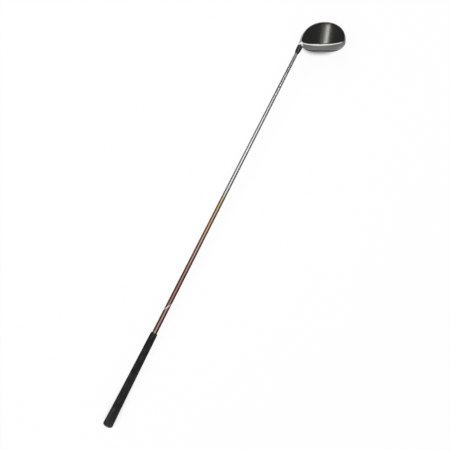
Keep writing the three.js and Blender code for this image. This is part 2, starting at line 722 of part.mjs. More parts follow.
function gripTape() {
  const top = gripTop - TAPE_MARGIN;
  return turned([
    [tapeInner(tapeBottom), tapeBottom],
    [tapeOuter(tapeBottom), tapeBottom],
    [tapeOuter(top), top],
    [tapeInner(top), top],
    [tapeInner(tapeBottom), tapeBottom],
  ]);
}

function grip() {
  const hand = mix(gripTop, gripMouth, GRIP_HAND_SHARE);
  return turned([
    [gripBore(gripMouth), gripMouth],
    [GRIP_MOUTH_RADIUS, gripMouth],
    [GRIP_HAND_RADIUS, hand],
    [GRIP_BUTT_RADIUS, gripTop],
    [gripBore(gripTop), gripTop],
    [gripBore(gripMouth), gripMouth],
  ]);
}

function gripCap() {
  return turned([
    [VENT_RADIUS, capBottom],
    [GRIP_BUTT_RADIUS, capBottom],
    [GRIP_CAP_RADIUS, capBottom + GRIP_CAP_EDGE],
    [GRIP_CAP_RADIUS, CLUB_LENGTH - GRIP_CAP_EDGE],
    [GRIP_CAP_RADIUS - GRIP_CAP_EDGE, CLUB_LENGTH],
    [VENT_RADIUS, CLUB_LENGTH],
    [VENT_RADIUS, capBottom],
  ]);
}

// Colours, roughness and metalness
const finishes = {
  satinSilver: ["#a9abac", 0.42, 0.9],
  brushedDark: ["#4a4a49", 0.34, 0.95],
  glossBlack: ["#17181a", 0.12, 0],
  blackAnodised: ["#26282a", 0.35, 0.5],
  steel: ["#8d8f92", 0.35, 1],
  brass: ["#b39b5a", 0.4, 1],
  cork: ["#b48a5c", 0.9, 0],
  shaftLacquer: ["#93553a", 0.25, 0.3],
  tape: ["#c9c3ae", 0.9, 0],
  rubber: ["#232425", 0.85, 0],
  softRubber: ["#2a2c2e", 0.8, 0],
};

function piece(name, body, [color, roughness, metalness]) {
  const material = new THREE.MeshStandardMaterial({ color, roughness, metalness });
  const mesh = new THREE.Mesh(surfaceOf(body), material);
  mesh.name = name;
  return mesh;
}

const head = new THREE.Group();
head.add(
  piece("head_body", headBody(), finishes.satinSilver),
  piece("face_plate", facePlate(), finishes.brushedDark),
  piece("crown_panel", crownPanel(), finishes.glossBlack),
  piece("sole_panel_toe", solePanel(1), finishes.glossBlack),
  piece("sole_panel_heel", solePanel(-1), finishes.glossBlack),
  piece("slot_insert", slotInsert(), finishes.softRubber),
);

const tail = new THREE.Group();
tail.applyMatrix4(tailFrame);
tail.add(
  piece("rear_weight", rearWeight(), finishes.steel),
  piece("weight_screw", weightScrew(), finishes.blackAnodised),
);

const sole = new THREE.Group();
sole.applyMatrix4(frontWeightPlace);
sole.add(piece("front_weight", frontWeight(), finishes.steel));

const axis = new THREE.Group();
axis.applyMatrix4(axisFrame);
axis.add(
  piece("sleeve_bolt", sleeveBolt(), finishes.steel),
  piece("bolt_washer", boltWasher(), finishes.steel),
  piece("bolt_retainer", boltRetainer(), finishes.softRubber),
  piece("loft_sleeve", loftSleeve(), finishes.blackAnodised),
  piece("ferrule", ferrule(), finishes.glossBlack),
  piece("tip_weight", tipWeight(), finishes.brass),
  piece("shaft_cork", shaftCork(), finishes.cork),
  piece("shaft", shaft(), finishes.shaftLacquer),
  piece("grip_tape", gripTape(), finishes.tape),
  piece("grip", grip(), finishes.rubber),
  piece("grip_cap", gripCap(), finishes.rubber),
);

// Laid down, then centred over the floor's origin.
const club = new THREE.Group();
club.add(head, tail, sole, axis);
club.applyMatrix4(new THREE.Matrix4().makeBasis(restAhead, restSide, restUp).invert());
club.updateMatrixWorld(true);
const bounds = new THREE.Box3().setFromObject(club, true);
const middle = bounds.getCenter(new THREE.Vector3());
club.position.add(new THREE.Vector3(-middle.x, -middle.y, -bounds.min.z));

export default club;
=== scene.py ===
"""Adjustable golf driver lying on a pale surface, seen from straight above.

Sizes are in millimetres in the head's own frame or along the shaft's axis, as the frame's solids have them.
Meshes are written in metres in the frame of the row.
"""

import json
import logging
import math
from dataclasses import dataclass, field
from enum import Enum
from typing import Iterable, Sequence, Union

import bmesh
import bpy
import numpy as np
from mathutils import Matrix, Vector


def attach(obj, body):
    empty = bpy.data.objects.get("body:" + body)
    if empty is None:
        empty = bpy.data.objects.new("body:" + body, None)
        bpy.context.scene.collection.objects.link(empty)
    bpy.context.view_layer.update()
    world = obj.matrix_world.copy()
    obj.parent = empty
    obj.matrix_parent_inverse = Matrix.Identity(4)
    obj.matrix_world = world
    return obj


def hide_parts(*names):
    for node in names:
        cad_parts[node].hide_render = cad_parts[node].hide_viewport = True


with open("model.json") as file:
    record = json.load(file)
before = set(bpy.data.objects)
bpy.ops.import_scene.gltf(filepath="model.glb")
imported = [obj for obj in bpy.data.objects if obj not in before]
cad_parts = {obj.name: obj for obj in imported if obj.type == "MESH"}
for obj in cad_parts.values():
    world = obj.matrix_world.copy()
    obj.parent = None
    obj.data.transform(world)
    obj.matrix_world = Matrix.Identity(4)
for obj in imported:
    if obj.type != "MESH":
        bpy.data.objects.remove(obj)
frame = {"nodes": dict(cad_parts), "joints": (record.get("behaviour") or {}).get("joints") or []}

LOG = logging.getLogger("golf_driver")
MILLIMETRE = 0.001
LIE = math.radians(58.0)
LOFT = math.radians(10.5)
BOLT_HEIGHT = 20.0
CORNER_SHARE = 0.45
SMALLEST_CORNER = 0.02
SMALLEST_BEND = 0.17

Points = np.ndarray
Colour = tuple[float, float, float]
Profile = Sequence[tuple[float, float]]

WHITE: Colour = (1.0, 1.0, 1.0)
BLACK: Colour = (0.0, 0.0, 0.0)
NEAR_BLACK: Colour = (0.02, 0.02, 0.02)


def mix(first: float, second: float, share: float) -> float:
    """Value a share of the way from the first to the second."""
    return first + (second - first) * share


def shade(red: float, green: float, blue: float) -> Colour:
    """Scene colour of a display colour.

    Args:
        red, green, blue: display levels from 0 to 255.

    Returns:
        The three linear levels.
    """
    levels = [max(value, 0.0) / 255.0 for value in (red, green, blue)]
    linear = [v / 12.92 if v <= 0.04045 else ((v + 0.055) / 1.055) ** 2.4 for v in levels]
    return (linear[0], linear[1], linear[2])


# ---------------------------------------------------------------------------------------------- places


@dataclass(frozen=True)
class PlaceFrame:
    """A right-handed frame of the row, with its origin in metres."""

    origin: Vector
    x: Vector
    y: Vector
    z: Vector

    def matrix(self) -> Matrix:
        """Matrix that takes millimetres of this frame to metres of the row."""
        turn = Matrix((self.x, self.y, self.z)).transposed().to_4x4()
        return Matrix.Translation(self.origin) @ turn @ Matrix.Scale(MILLIMETRE, 4)

    def point(self, x: float, y: float, z: float) -> Vector:
        """A point of this frame, given in millimetres, in the row."""
        return self.matrix() @ Vector((x, y, z))


@dataclass(frozen=True)
class ClubPlaces:
    """Frames of the club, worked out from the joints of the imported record."""

    head: PlaceFrame
    axis: PlaceFrame
    tail: PlaceFrame
    weight: PlaceFrame

    @classmethod
    def from_record(cls, joints: Sequence[dict]) -> "ClubPlaces":
        """Reads the frames off the joints.

        Args:
            joints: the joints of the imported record.

        Returns:
            The frames of the head, the shaft's axis, the tail's flat and the swing weight.
        """
        by_name = {joint["name"]: joint for joint in joints}
        up_shaft = Vector(by_name["shaft_release"]["axis"]).normalized()
        bolt = Vector(by_name["bolt_turn"]["pos_m"])
        ground = bolt - up_shaft * BOLT_HEIGHT * MILLIMETRE
        up = Vector(by_name["front_weight_turn"]["axis"]).normalized()
        toe = (up * math.sin(LIE) - up_shaft).normalized()
        up = (up - toe * up.dot(toe)).normalized()
        face = up.cross(toe)
        head = PlaceFrame(ground, toe, face, up)
        axis = PlaceFrame(ground, face.cross(up_shaft), face, up_shaft)
        out = Vector(by_name["weight_screw_turn"]["axis"]).normalized()
        screw = Vector(by_name["weight_screw_turn"]["pos_m"])
        ahead = Vector((1.0, 0.0, 0.0))
        tail = PlaceFrame(screw, ahead, out.cross(ahead), out)
        seat = Vector(by_name["front_weight_turn"]["pos_m"])
        weight = PlaceFrame(seat, toe, face, up)
        return cls(head, axis, tail, weight)


# ---------------------------------------------------------------------------------------------- meshes


class Cut(Enum):
    """How a tool body changes the body it is set against."""

    TAKE = "DIFFERENCE"
    ADD = "UNION"
    KEEP = "INTERSECT"


def placed(name: str, data: bpy.types.ID) -> bpy.types.Object:
    """Makes an object at the origin of the scene.

    Args:
        name: the object's name.
        data: its mesh, lamp or camera.

    Returns:
        The object.
    """
    made = bpy.data.objects.new(name, data)
    bpy.context.scene.collection.objects.link(made)
    return made


def body_from(
    name: str, points: Points, faces: Iterable[Sequence[int]], place: PlaceFrame,
) -> bpy.types.Object:
    """Makes an object from points in millimetres of a frame.

    Args:
        name: the object's name.
        points: one row of three coordinates for each corner.
        faces: corner numbers of each face, facing outwards.
        place: frame that the points are in.

    Returns:
        An object at the origin with its place in its mesh.
    """
    mesh = bpy.data.meshes.new(name)
    mesh.from_pydata(np.asarray(points, float).tolist(), [], [list(map(int, face)) for face in faces])
    mesh.transform(place.matrix())
    mesh.validate()
    mesh.update()
    body = placed(name, mesh)
    face_outwards(body)
    return body


def face_outwards(body: bpy.types.Object) -> None:
    """Turns a closed body's faces outwards.

    Args:
        body: closed body whose mesh is changed.
    """
    edit = bmesh.new()
    edit.from_mesh(body.data)
    bmesh.ops.recalc_face_normals(edit, faces=edit.faces)
    edit.to_mesh(body.data)
    edit.free()
    body.data.update()


def discard(bodies: Iterable[bpy.types.Object]) -> None:
    """Removes tool bodies that have done their work.

    Args:
        bodies: the tool bodies.
    """
    for body in bodies:
        mesh = body.data
        bpy.data.objects.remove(body)
        bpy.data.meshes.remove(mesh)


def settled(body: bpy.types.Object) -> None:
    """Turns a body's modifiers into plain mesh.

    Args:
        body: the body, which has no modifiers afterwards.
    """
    bpy.context.view_layer.update()
    graph = bpy.context.evaluated_depsgraph_get()
    mesh = bpy.data.meshes.new_from_object(body.evaluated_get(graph))
    old = body.data
    body.modifiers.clear()
    body.data = mesh
    bpy.data.meshes.remove(old)
    mesh.name = body.name


def carve(body: bpy.types.Object, steps: Sequence[tuple[Cut, bpy.types.Object]]) -> bpy.types.Object:
    """Cuts a body with tool bodies, one after another, and removes the tools.

    Args:
        body: closed body that is changed.
        steps: what each tool does, and the tool.

    Returns:
        The same object with its new mesh.
    """
    for cut, tool in steps:
        count = len(body.data.polygons)
        for solver in ("MANIFOLD", "EXACT"):
            modifier = body.modifiers.new("carve", "BOOLEAN")
            modifier.operation = cut.value
            modifier.object = tool
            modifier.solver = solver
            before = body.data.copy()
            settled(body)
            if len(body.data.polygons) > min(count, 12) / 2:
                bpy.data.meshes.remove(before)
                break
            LOG.info("%s: %s left nothing of it, tried again", body.name, solver)
            empty = body.data
            body.data = before
            bpy.data.meshes.remove(empty)
    discard([tool for _, tool in steps])
    return body


def smooth(body: bpy.types.Object, crease: float = 30.0) -> bpy.types.Object:
    """Shades a body smoothly.

    Args:
        body: the body.
        crease: angle in degrees above which its edges stay sharp.

    Returns:
        The same body.
    """
    mesh = body.data
    mesh.shade_smooth()
    mesh.set_sharp_from_angle(angle=math.radians(crease))
    return body


def rounded(profile: Profile, radius: float, steps: int = 4) -> list[tuple[float, float]]:
    """Rounds the corners of a turned profile that lie off the axis.

    Args:
        profile: pairs of radius and height.
        radius: the most that a corner is rounded by.
        steps: pieces that each rounded corner has.

    Returns:
        The profile with its corners rounded.
    """
    closed = profile[0] == profile[-1]
    corners = [np.array(p, float) for p in (profile[:-1] if closed else profile)]
    made: list[tuple[float, float]] = []
    last = len(corners) - 1
    for index, corner in enumerate(corners):
        if not closed and index in (0, last):
            made.append((corner[0], corner[1]))
            continue
        before, after = corners[index - 1], corners[(index + 1) % len(corners)]
        back, ahead = before - corner, after - corner
        back_length, ahead_length = float(np.linalg.norm(back)), float(np.linalg.norm(ahead))
        reach = min(radius, CORNER_SHARE * back_length, CORNER_SHARE * ahead_length)
        bend = abs(float(back[0] * ahead[1] - back[1] * ahead[0])) / (back_length * ahead_length)
        if reach < SMALLEST_CORNER or bend < SMALLEST_BEND:
            made.append((corner[0], corner[1]))
            continue
        start = corner + back / back_length * reach
        end = corner + ahead / ahead_length * reach
        for step in range(steps + 1):
            t = step / steps
            p = start * (1 - t) ** 2 + corner * 2 * t * (1 - t) + end * t * t
            made.append((float(p[0]), float(p[1])))
    if closed:
        made.append(made[0])
    return made


def turned(name: str, profile: Profile, place: PlaceFrame, sides: int = 72) -> bpy.types.Object:
    """Turns a profile about a frame's axis.

    Args:
        name: the object's name.
        profile: pairs of radius and height that start and end on the axis, or close on themselves.
        place: frame whose Z is the axis.
        sides: faces once round.

    Returns:
        A closed body.
    """
    closed = profile[0] == profile[-1]
    pairs = list(profile[:-1] if closed else profile)
    angles = 2 * np.pi * np.arange(sides) / sides
    points: list[tuple[float, float, float]] = []
    rings: list[list[int]] = []
    for radius, height in pairs:
        start = len(points)
        if radius < 1e-6:
            points.append((0.0, 0.0, height))
            rings.append([start] * sides)
            continue
        points += [(radius * math.cos(a), radius * math.sin(a), height) for a in angles]
        rings.append(list(range(start, start + sides)))
    order = list(range(len(rings))) + ([0] if closed else [])
    faces = []
    for low, high in zip(order[:-1], order[1:]):
        for i in range(sides):
            j = (i + 1) % sides
            face = (rings[low][i], rings[low][j], rings[high][j], rings[high][i])
            corners = list(dict.fromkeys(face))
            if len(corners) > 2:
                faces.append(corners)
    return body_from(name, np.array(points), faces, place)


def rod(
    name: str, radius: float, low: float, high: float, place: PlaceFrame, sides: int = 64,
) -> bpy.types.Object:
    """A plain round tool body between two heights of a frame."""
    return turned(name, [(0.0, low), (radius, low), (radius, high), (0.0, high)], place, sides)


def prism(name: str, outline: Points, low: float, high: float, place: PlaceFrame) -> bpy.types.Object:
    """A tool body with one outline between two heights of a frame.

    Args:
        name: the object's name.
        outline: pairs of coordinates, counter-clockwise seen from above.
        low, high: heights of its two ends.
        place: frame that the outline lies across.

    Returns:
        A closed body.
    """
    count = len(outline)
    points = np.vstack([
        np.column_stack([outline, np.full(count, low)]),
        np.column_stack([outline, np.full(count, high)]),
    ])
    faces = [list(range(count))[::-1], list(range(count, 2 * count))]
    faces += [(i, (i + 1) % count, count + (i + 1) % count, count + i) for i in range(count)]
    return body_from(name, points, faces, place)


def hexagon(radius: float) -> Points:
    """Outline of a driver socket."""
    angles = 2 * np.pi * np.arange(6) / 6
    return np.column_stack([radius * np.cos(angles), radius * np.sin(angles)])


def socketed(
    body: bpy.types.Object, radius: float, low: float, high: float, place: PlaceFrame,
) -> bpy.types.Object:
    """Cuts a six-sided driver socket into a body.

    Args:
        body: the screw or slug.
        radius: radius of the socket's corners.
        low, high: heights that the cut runs between.
        place: frame whose Z is the axis of the socket.

    Returns:
        The same body.
    """
    return carve(body, [(Cut.TAKE, prism("bit", hexagon(radius), low, high, place))])


# ---------------------------------------------------------------------------------------------- node trees


Term = Union["Value", float]


class Value:
    """A socket of a node tree that takes part in Python expressions."""

    def __init__(self, tree: "NodeTree", socket: bpy.types.NodeSocket) -> None:
        """Wraps a socket of a tree."""
        self.tree = tree
        self.socket = socket

    def maths(self, operation: str, *terms: Term) -> "Value":
        """Adds a Math node whose first term is this value."""
        return self.tree.maths(operation, self, *terms)

    def __add__(self, other: Term) -> "Value":
        """Sum."""
        return self.maths("ADD", other)

    def __radd__(self, other: Term) -> "Value":
        """Sum, from the right."""
        return self.maths("ADD", other)

    def __sub__(self, other: Term) -> "Value":
        """Difference."""
        return self.maths("SUBTRACT", other)

    def __rsub__(self, other: Term) -> "Value":
        """Difference, from the right."""
        return self.tree.maths("SUBTRACT", other, self)

    def __mul__(self, other: Term) -> "Value":
        """Product."""
        return self.maths("MULTIPLY", other)

    def __rmul__(self, other: Term) -> "Value":
        """Product, from the right."""
        return self.maths("MULTIPLY", other)

    def __truediv__(self, other: Term) -> "Value":
        """Quotient."""
        return self.maths("DIVIDE", other)

    def __pow__(self, other: Term) -> "Value":
        """Power."""
        return self.maths("POWER", other)

    def ranged(
        self, settings: dict, low: Term, high: Term, first: Term = 0.0, last: Term = 1.0,
    ) -> "Value":
        """Maps a range of this value onto another range.

        Args:
            settings: how it goes from one end to the other, and whether it stops there.
            low, high: ends of the range.
            first, last: what they become.

        Returns:
            The mapped value.
        """
        ends = {"From Min": low, "From Max": high, "To Min": first, "To Max": last}
        node = self.tree.node("ShaderNodeMapRange", settings, {"Value": self, **ends})
        return Value(self.tree, node.outputs["Result"])

    def rise(self, low: float, high: float) -> "Value":
        """Smooth step from 0 at low to 1 at high."""
        return self.ranged({"interpolation_type": "SMOOTHSTEP"}, low, high)

    def fall(self, low: float, high: float) -> "Value":
        """Smooth step from 1 at low to 0 at high."""
        return 1.0 - self.rise(low, high)

    def band(self, low: float, high: float, soft: float) -> "Value":
        """1 between two levels, with soft sides."""
        return self.rise(low - soft, low + soft) * self.fall(high - soft, high + soft)


class NodeTree:
    """A node tree under construction."""

    def __init__(self, tree: bpy.types.NodeTree) -> None:
        """Takes over a tree and empties it."""
        self.tree = tree
        self.tree.nodes.clear()

    def node(self, kind: str, settings: dict | None = None, sockets: dict | None = None) -> bpy.types.Node:
        """Adds a node.

        Args:
            kind: Blender's name of the node type.
            settings: properties of the node, set first; "stops" are the places and colours of a ramp.
            sockets: a number, colour, value, link or node for each input, by name, number or identifier.

        Returns:
            The node.
        """
        made = self.tree.nodes.new(kind)
        for key, value in (settings or {}).items():
            if key == "stops":
                self._stops(made.color_ramp, value)
            else:
                setattr(made, key, value)
        by_identifier = {socket.identifier: socket for socket in made.inputs}
        for key, value in (sockets or {}).items():
            socket = by_identifier[key] if key in by_identifier else made.inputs[key]
            if isinstance(value, Value):
                self.tree.links.new(value.socket, socket)
            elif isinstance(value, bpy.types.Node):
                self.tree.links.new(value.outputs[0], socket)
            elif isinstance(value, bpy.types.NodeSocket):
                self.tree.links.new(value, socket)
            elif socket.type == "RGBA":
                socket.default_value = (*value, 1.0)
            else:
                socket.default_value = value
        return made

    @staticmethod
    def _stops(ramp: bpy.types.ColorRamp, stops: Sequence[tuple[float, Colour]]) -> None:
        """Sets the stops of a ramp.

        Args:
            ramp: the ramp of a node.
            stops: pairs of a place from 0 to 1 and a colour.
        """
        while len(ramp.elements) < len(stops):
            ramp.elements.new(0.5)
        for element, (place, colour) in zip(ramp.elements, stops):
            element.position = place
            element.color = (*colour, 1.0)

    def value(self, node: bpy.types.Node, output: Union[int, str] = 0) -> Value:
        """Wraps an output of a node."""
        return Value(self, node.outputs[output])

    def maths(self, operation: str, *terms: Term) -> Value:
        """Adds a Math node on up to three terms."""
        return self.value(self.node("ShaderNodeMath", {"operation": operation}, dict(enumerate(terms))))

    def vector(self, x: Term, y: Term, z: Term) -> Value:
        """Joins three numbers to a vector."""
        return self.value(self.node("ShaderNodeCombineXYZ", sockets={0: x, 1: y, 2: z}))


class GeometryRule(NodeTree):
    """A Geometry Nodes tree whose named inputs are sizes in millimetres."""

    def __init__(self, name: str) -> None:
        """Starts an empty tree with a geometry output.

        Args:
            name: the tree's name.
        """
        super().__init__(bpy.data.node_groups.new(name, "GeometryNodeTree"))
        self.tree.interface.new_socket("Geometry", in_out="OUTPUT", socket_type="NodeSocketGeometry")
        self.entry = self.tree.nodes.new("NodeGroupInput")
        self.values: dict[str, Union[float, int]] = {}

    def _input(self, name: str, kind: str, value: Union[float, int]) -> Value:
        """Adds a named input with its value."""
        item = self.tree.interface.new_socket(name, in_out="INPUT", socket_type=kind)
        self.values[item.identifier] = value
        return self.value(self.entry, name)

    def size(self, name: str, value: float) -> Value:
        """Adds a named number to the tree's inputs."""
        return self._input(name, "NodeSocketFloat", float(value))

    def count(self, name: str, value: int) -> Value:
        """Adds a named whole number to the tree's inputs."""
        return self._input(name, "NodeSocketInt", int(value))

    def copies(self, count: Value, spot: object, piece: bpy.types.Node, turn: Value) -> bpy.types.Node:
        """Sets copies of a piece on points, each turned about the frame's Z.

        Args:
            count: how many there are.
            spot: place of each.
            piece: the piece.
            turn: angle of each in radians.

        Returns:
            Node that gives the copies.
        """
        points = self.node("GeometryNodePoints", sockets={"Count": count, "Position": spot})
        sockets = {"Points": points, "Instance": piece, "Rotation": self.vector(0.0, 0.0, turn)}
        return self.node("GeometryNodeInstanceOnPoints", sockets=sockets)

    def result(
        self, name: str, geometry: bpy.types.Node, material: bpy.types.Material, place: PlaceFrame,
    ) -> bpy.types.Object:
        """Ends the tree, runs it and turns its result into a plain body.

        Args:
            name: the object's name.
            geometry: node that gives the finished geometry, in millimetres of the frame.
            material: finish of the body.
            place: frame that the geometry is in.

        Returns:
            An object at the origin with its place in its mesh.
        """
        real = self.node("GeometryNodeRealizeInstances", sockets={0: geometry})
        dressed = self.node("GeometryNodeSetMaterial", sockets={"Geometry": real, "Material": material})
        self.node("NodeGroupOutput", sockets={0: dressed})
        host = placed(name, bpy.data.meshes.new(name))
        modifier = host.modifiers.new("rule", "NODES")
        modifier.node_group = self.tree
        for identifier, value in self.values.items():
            modifier[identifier] = value
        settled(host)
        host.data.transform(place.matrix())
        host.data.update()
        return host


class ShaderTree(NodeTree):
    """A material under construction."""

    def __init__(self, name: str) -> None:
        """Starts an empty material."""
        self.material = bpy.data.materials.new(name)
        self.material.use_nodes = True
        super().__init__(self.material.node_tree)

    def place(self) -> Value:
        """Object coordinates, which are the row's own."""
        return self.value(self.node("ShaderNodeTexCoord"), "Object")

    def along(self, place: PlaceFrame) -> tuple[Value, Value, Value]:
        """Coordinates in millimetres of a frame.

        Args:
            place: the frame.

        Returns:
            The three coordinates.
        """
        shift = self.node(
            "ShaderNodeVectorMath", {"operation": "SUBTRACT"}, {0: self.place(), 1: tuple(place.origin)},
        )
        made = []
        for direction in (place.x, place.y, place.z):
            scaled = tuple(direction * (1.0 / MILLIMETRE))
            dot = self.node("ShaderNodeVectorMath", {"operation": "DOT_PRODUCT"}, {0: shift, 1: scaled})
            made.append(self.value(dot, "Value"))
        return made[0], made[1], made[2]

    def noise(self, where: Value, scale: float, detail: float = 3.0, rough: float = 0.5) -> Value:
        """Noise from 0 to 1.

        Args:
            where: coordinates that it is laid over.
            scale: turns of the noise per unit of these coordinates.
            detail: octaves.
            rough: how strong the fine octaves are.

        Returns:
            The noise's level.
        """
        sockets = {"Vector": where, "Scale": scale, "Detail": detail, "Roughness": rough}
        return self.value(self.node("ShaderNodeTexNoise", sockets=sockets))

    def blend(self, first: object, second: object, share: Term) -> Value:
        """Mixes two colours.

        Args:
            first, second: the colours, each a value or three numbers.
            share: how much of the second there is, from 0 to 1.

        Returns:
            The mixed colour.
        """
        sockets = {"Factor_Float": share, "A_Color": first, "B_Color": second}
        node = self.node("ShaderNodeMix", {"data_type": "RGBA"}, sockets)
        return Value(self, next(s for s in node.outputs if s.identifier == "Result_Color"))

    def ramp(self, share: Value, stops: Sequence[tuple[float, Colour]]) -> Value:
        """Colour along a ramp of places and colours."""
        return self.value(self.node("ShaderNodeValToRGB", {"stops": stops}, {0: share}), "Color")

    def bump(self, height: Value, strength: float, distance: float) -> Value:
        """Normal of a bumpy surface.

        Args:
            height: level of the surface from 0 to 1.
            strength: share of the bump that is used.
            distance: height of level 1 in metres.

        Returns:
            The normal.
        """
        sockets = {"Height": height, "Strength": strength, "Distance": distance}
        return self.value(self.node("ShaderNodeBump", sockets=sockets), "Normal")

    def surface(self, shader: bpy.types.Node) -> bpy.types.Material:
        """Ends the material in a shader."""
        self.node("ShaderNodeOutputMaterial", sockets={"Surface": shader})
        return self.material

    def finish(self, **sockets: object) -> bpy.types.Material:
        """Ends the material in the usual surface shader.

        Args:
            sockets: inputs of the shader, with underscores for the spaces in their names.

        Returns:
            The material.
        """
        named = {key.replace("_", " "): value for key, value in sockets.items()}
        return self.surface(self.node("ShaderNodeBsdfPrincipled", sockets=named))


# ---------------------------------------------------------------------------------------------- finishes


@dataclass(frozen=True)
class ShellPaint:
    """Finish of the cast shell: satin silver crown, dark brushed front rim, white line and pale hosel; the
    white line is a painted highlight, and the crown carries painted shade towards the toe.
    """

    silver: Colour = shade(178, 179, 176)
    # painted shade: the darker grey that the crown turns to towards the toe
    painted_shade_grey: Colour = shade(96, 97, 98)
    sole_grey: Colour = shade(84, 85, 87)
    rim: Colour = shade(58, 58, 57)
    # painted highlight: the white of the line along the crown's rounded front edge
    line: Colour = shade(247, 247, 246)
    crown_edge: tuple[float, float] = (42.6, 45.4)
    line_highlight_end: tuple[float, float] = (66.0, 74.0)
    rim_end: tuple[float, float] = (1.3, 2.1)
    sole_edge: tuple[float, float] = (9.0, 13.0)
    hosel_edge: tuple[float, float] = (7.6, 12.5)
    hosel_foot: tuple[float, float] = (26.0, 40.0)
    hosel: Colour = shade(176, 177, 178)

    def make(self, places: ClubPlaces, form: "HeadForm") -> bpy.types.Material:
        """Makes the material.

        Args:
            places: frames of the club.
            form: the head's surface, for the distance behind the face.

        Returns:
            The material.
        """
        tree = ShaderTree("satin_titanium")
        x, y, z = tree.along(places.head)
        across, beside, height = tree.along(places.axis)
        bulge = (x - form.face_middle_x) ** 2.0 * (0.5 / form.bulge_radius)
        roll = (z - form.face_middle_z) ** 2.0 * (0.5 / form.roll_radius)
        behind = form.face_lead - y - (z * math.tan(LOFT) + bulge + roll)
        upper = z.rise(*self.crown_edge)
        radius = (across * across + beside * beside) ** 0.5
        tube = radius.fall(*self.hosel_edge) * height.rise(*self.hosel_foot)
        # Painted highlight: a white line where the crown's rounded front edge would catch the overhead light;
        # start and edge set where it begins and how wide it is along X.
        start = x.band(12.0, 76.0, 8.0) * 0.15 + x.band(36.0, 62.0, 10.0) * 0.4
        edge = 0.9 + x.fall(-22.0, -14.0) * 0.6 + x.rise(-14.0, 2.0) * 0.5 + x.band(6.0, 52.0, 12.0) * 1.7
        line = (behind - edge).fall(-0.25, 0.25) * (behind - start).rise(-0.1, 0.1)
        line = line * upper * x.fall(*self.line_highlight_end)
        rim = behind.fall(*self.rim_end) * (1.0 - upper) + (behind - start).fall(-0.1, 0.1) * upper
        sole = z.fall(*self.sole_edge) * behind.rise(2.0, 4.0)
        grain = tree.noise(tree.vector(x * 0.22, y * 2.4, z * 0.22), 3.0, 4.0, 0.62)
        blast = tree.noise(tree.place(), 2600.0, 2.0)
        cloud = tree.noise(tree.place(), 38.0, 3.0)
        base = tree.blend(self.silver, self.sole_grey, sole)
        # Painted shade: the crown's silver turns to a darker grey towards the toe.
        base = tree.blend(base, self.painted_shade_grey, x.rise(24.0, 60.0) * 0.35 + x.rise(64.0, 79.0) * 0.55)
        base = tree.blend(base, self.hosel, tube)
        base = tree.blend(base, self.rim, rim)
        base = tree.blend(base, self.line, line)
        tint = (cloud - 0.5) * 0.16 + (grain - 0.5) * 0.10 + 0.03
        base = tree.blend(base, NEAR_BLACK, tint.rise(0.0, 0.16) * 0.16)
        # The painted highlight line and the hosel are made less metallic and smoother than the rest.
        paint = line.maths("MAXIMUM", tube * 0.4)
        rough = 0.34 + (blast - 0.5) * 0.12 + (cloud - 0.5) * 0.06 - paint * 0.14
        return tree.finish(
            Base_Color=base,
            Metallic=(1.0 - paint) * 0.5,
            Roughness=rough,
            Normal=tree.bump(blast * 0.6 + grain * 0.4, 0.35, 0.00003),
        )


@dataclass(frozen=True)
class BrushedFace:
    """Dark brushed face with fine upright lines."""

    colour: Colour = shade(66, 66, 64)
    light_line: Colour = shade(84, 84, 81)
    roughness: float = 0.13

    def make(self, places: ClubPlaces) -> bpy.types.Material:
        """Makes the material from the frames of the club.

        Args:
            places: frames of the club.

        Returns:
            The material.
        """
        tree = ShaderTree("brushed_face")
        x, y, z = tree.along(places.head)
        lines = tree.noise(tree.vector(x * 3.2, y * 0.2, z * 0.07), 1.0, 5.0, 0.7)
        broad = tree.noise(tree.vector(x * 0.35, y * 0.1, z * 0.05), 1.0, 2.0)
        cloud = tree.noise(tree.place(), 60.0, 3.0)
        base = tree.blend(self.colour, self.light_line, lines.rise(0.42, 0.75) * 0.7 + (cloud - 0.5) * 0.4)
        rough = self.roughness + (lines - 0.5) * 0.08 + (broad - 0.5) * 0.04
        return tree.finish(
            Base_Color=base,
            Metallic=1.0,
            Roughness=rough,
            Normal=tree.bump(lines * 0.7 + broad * 0.3, 0.1, 0.00002),
        )


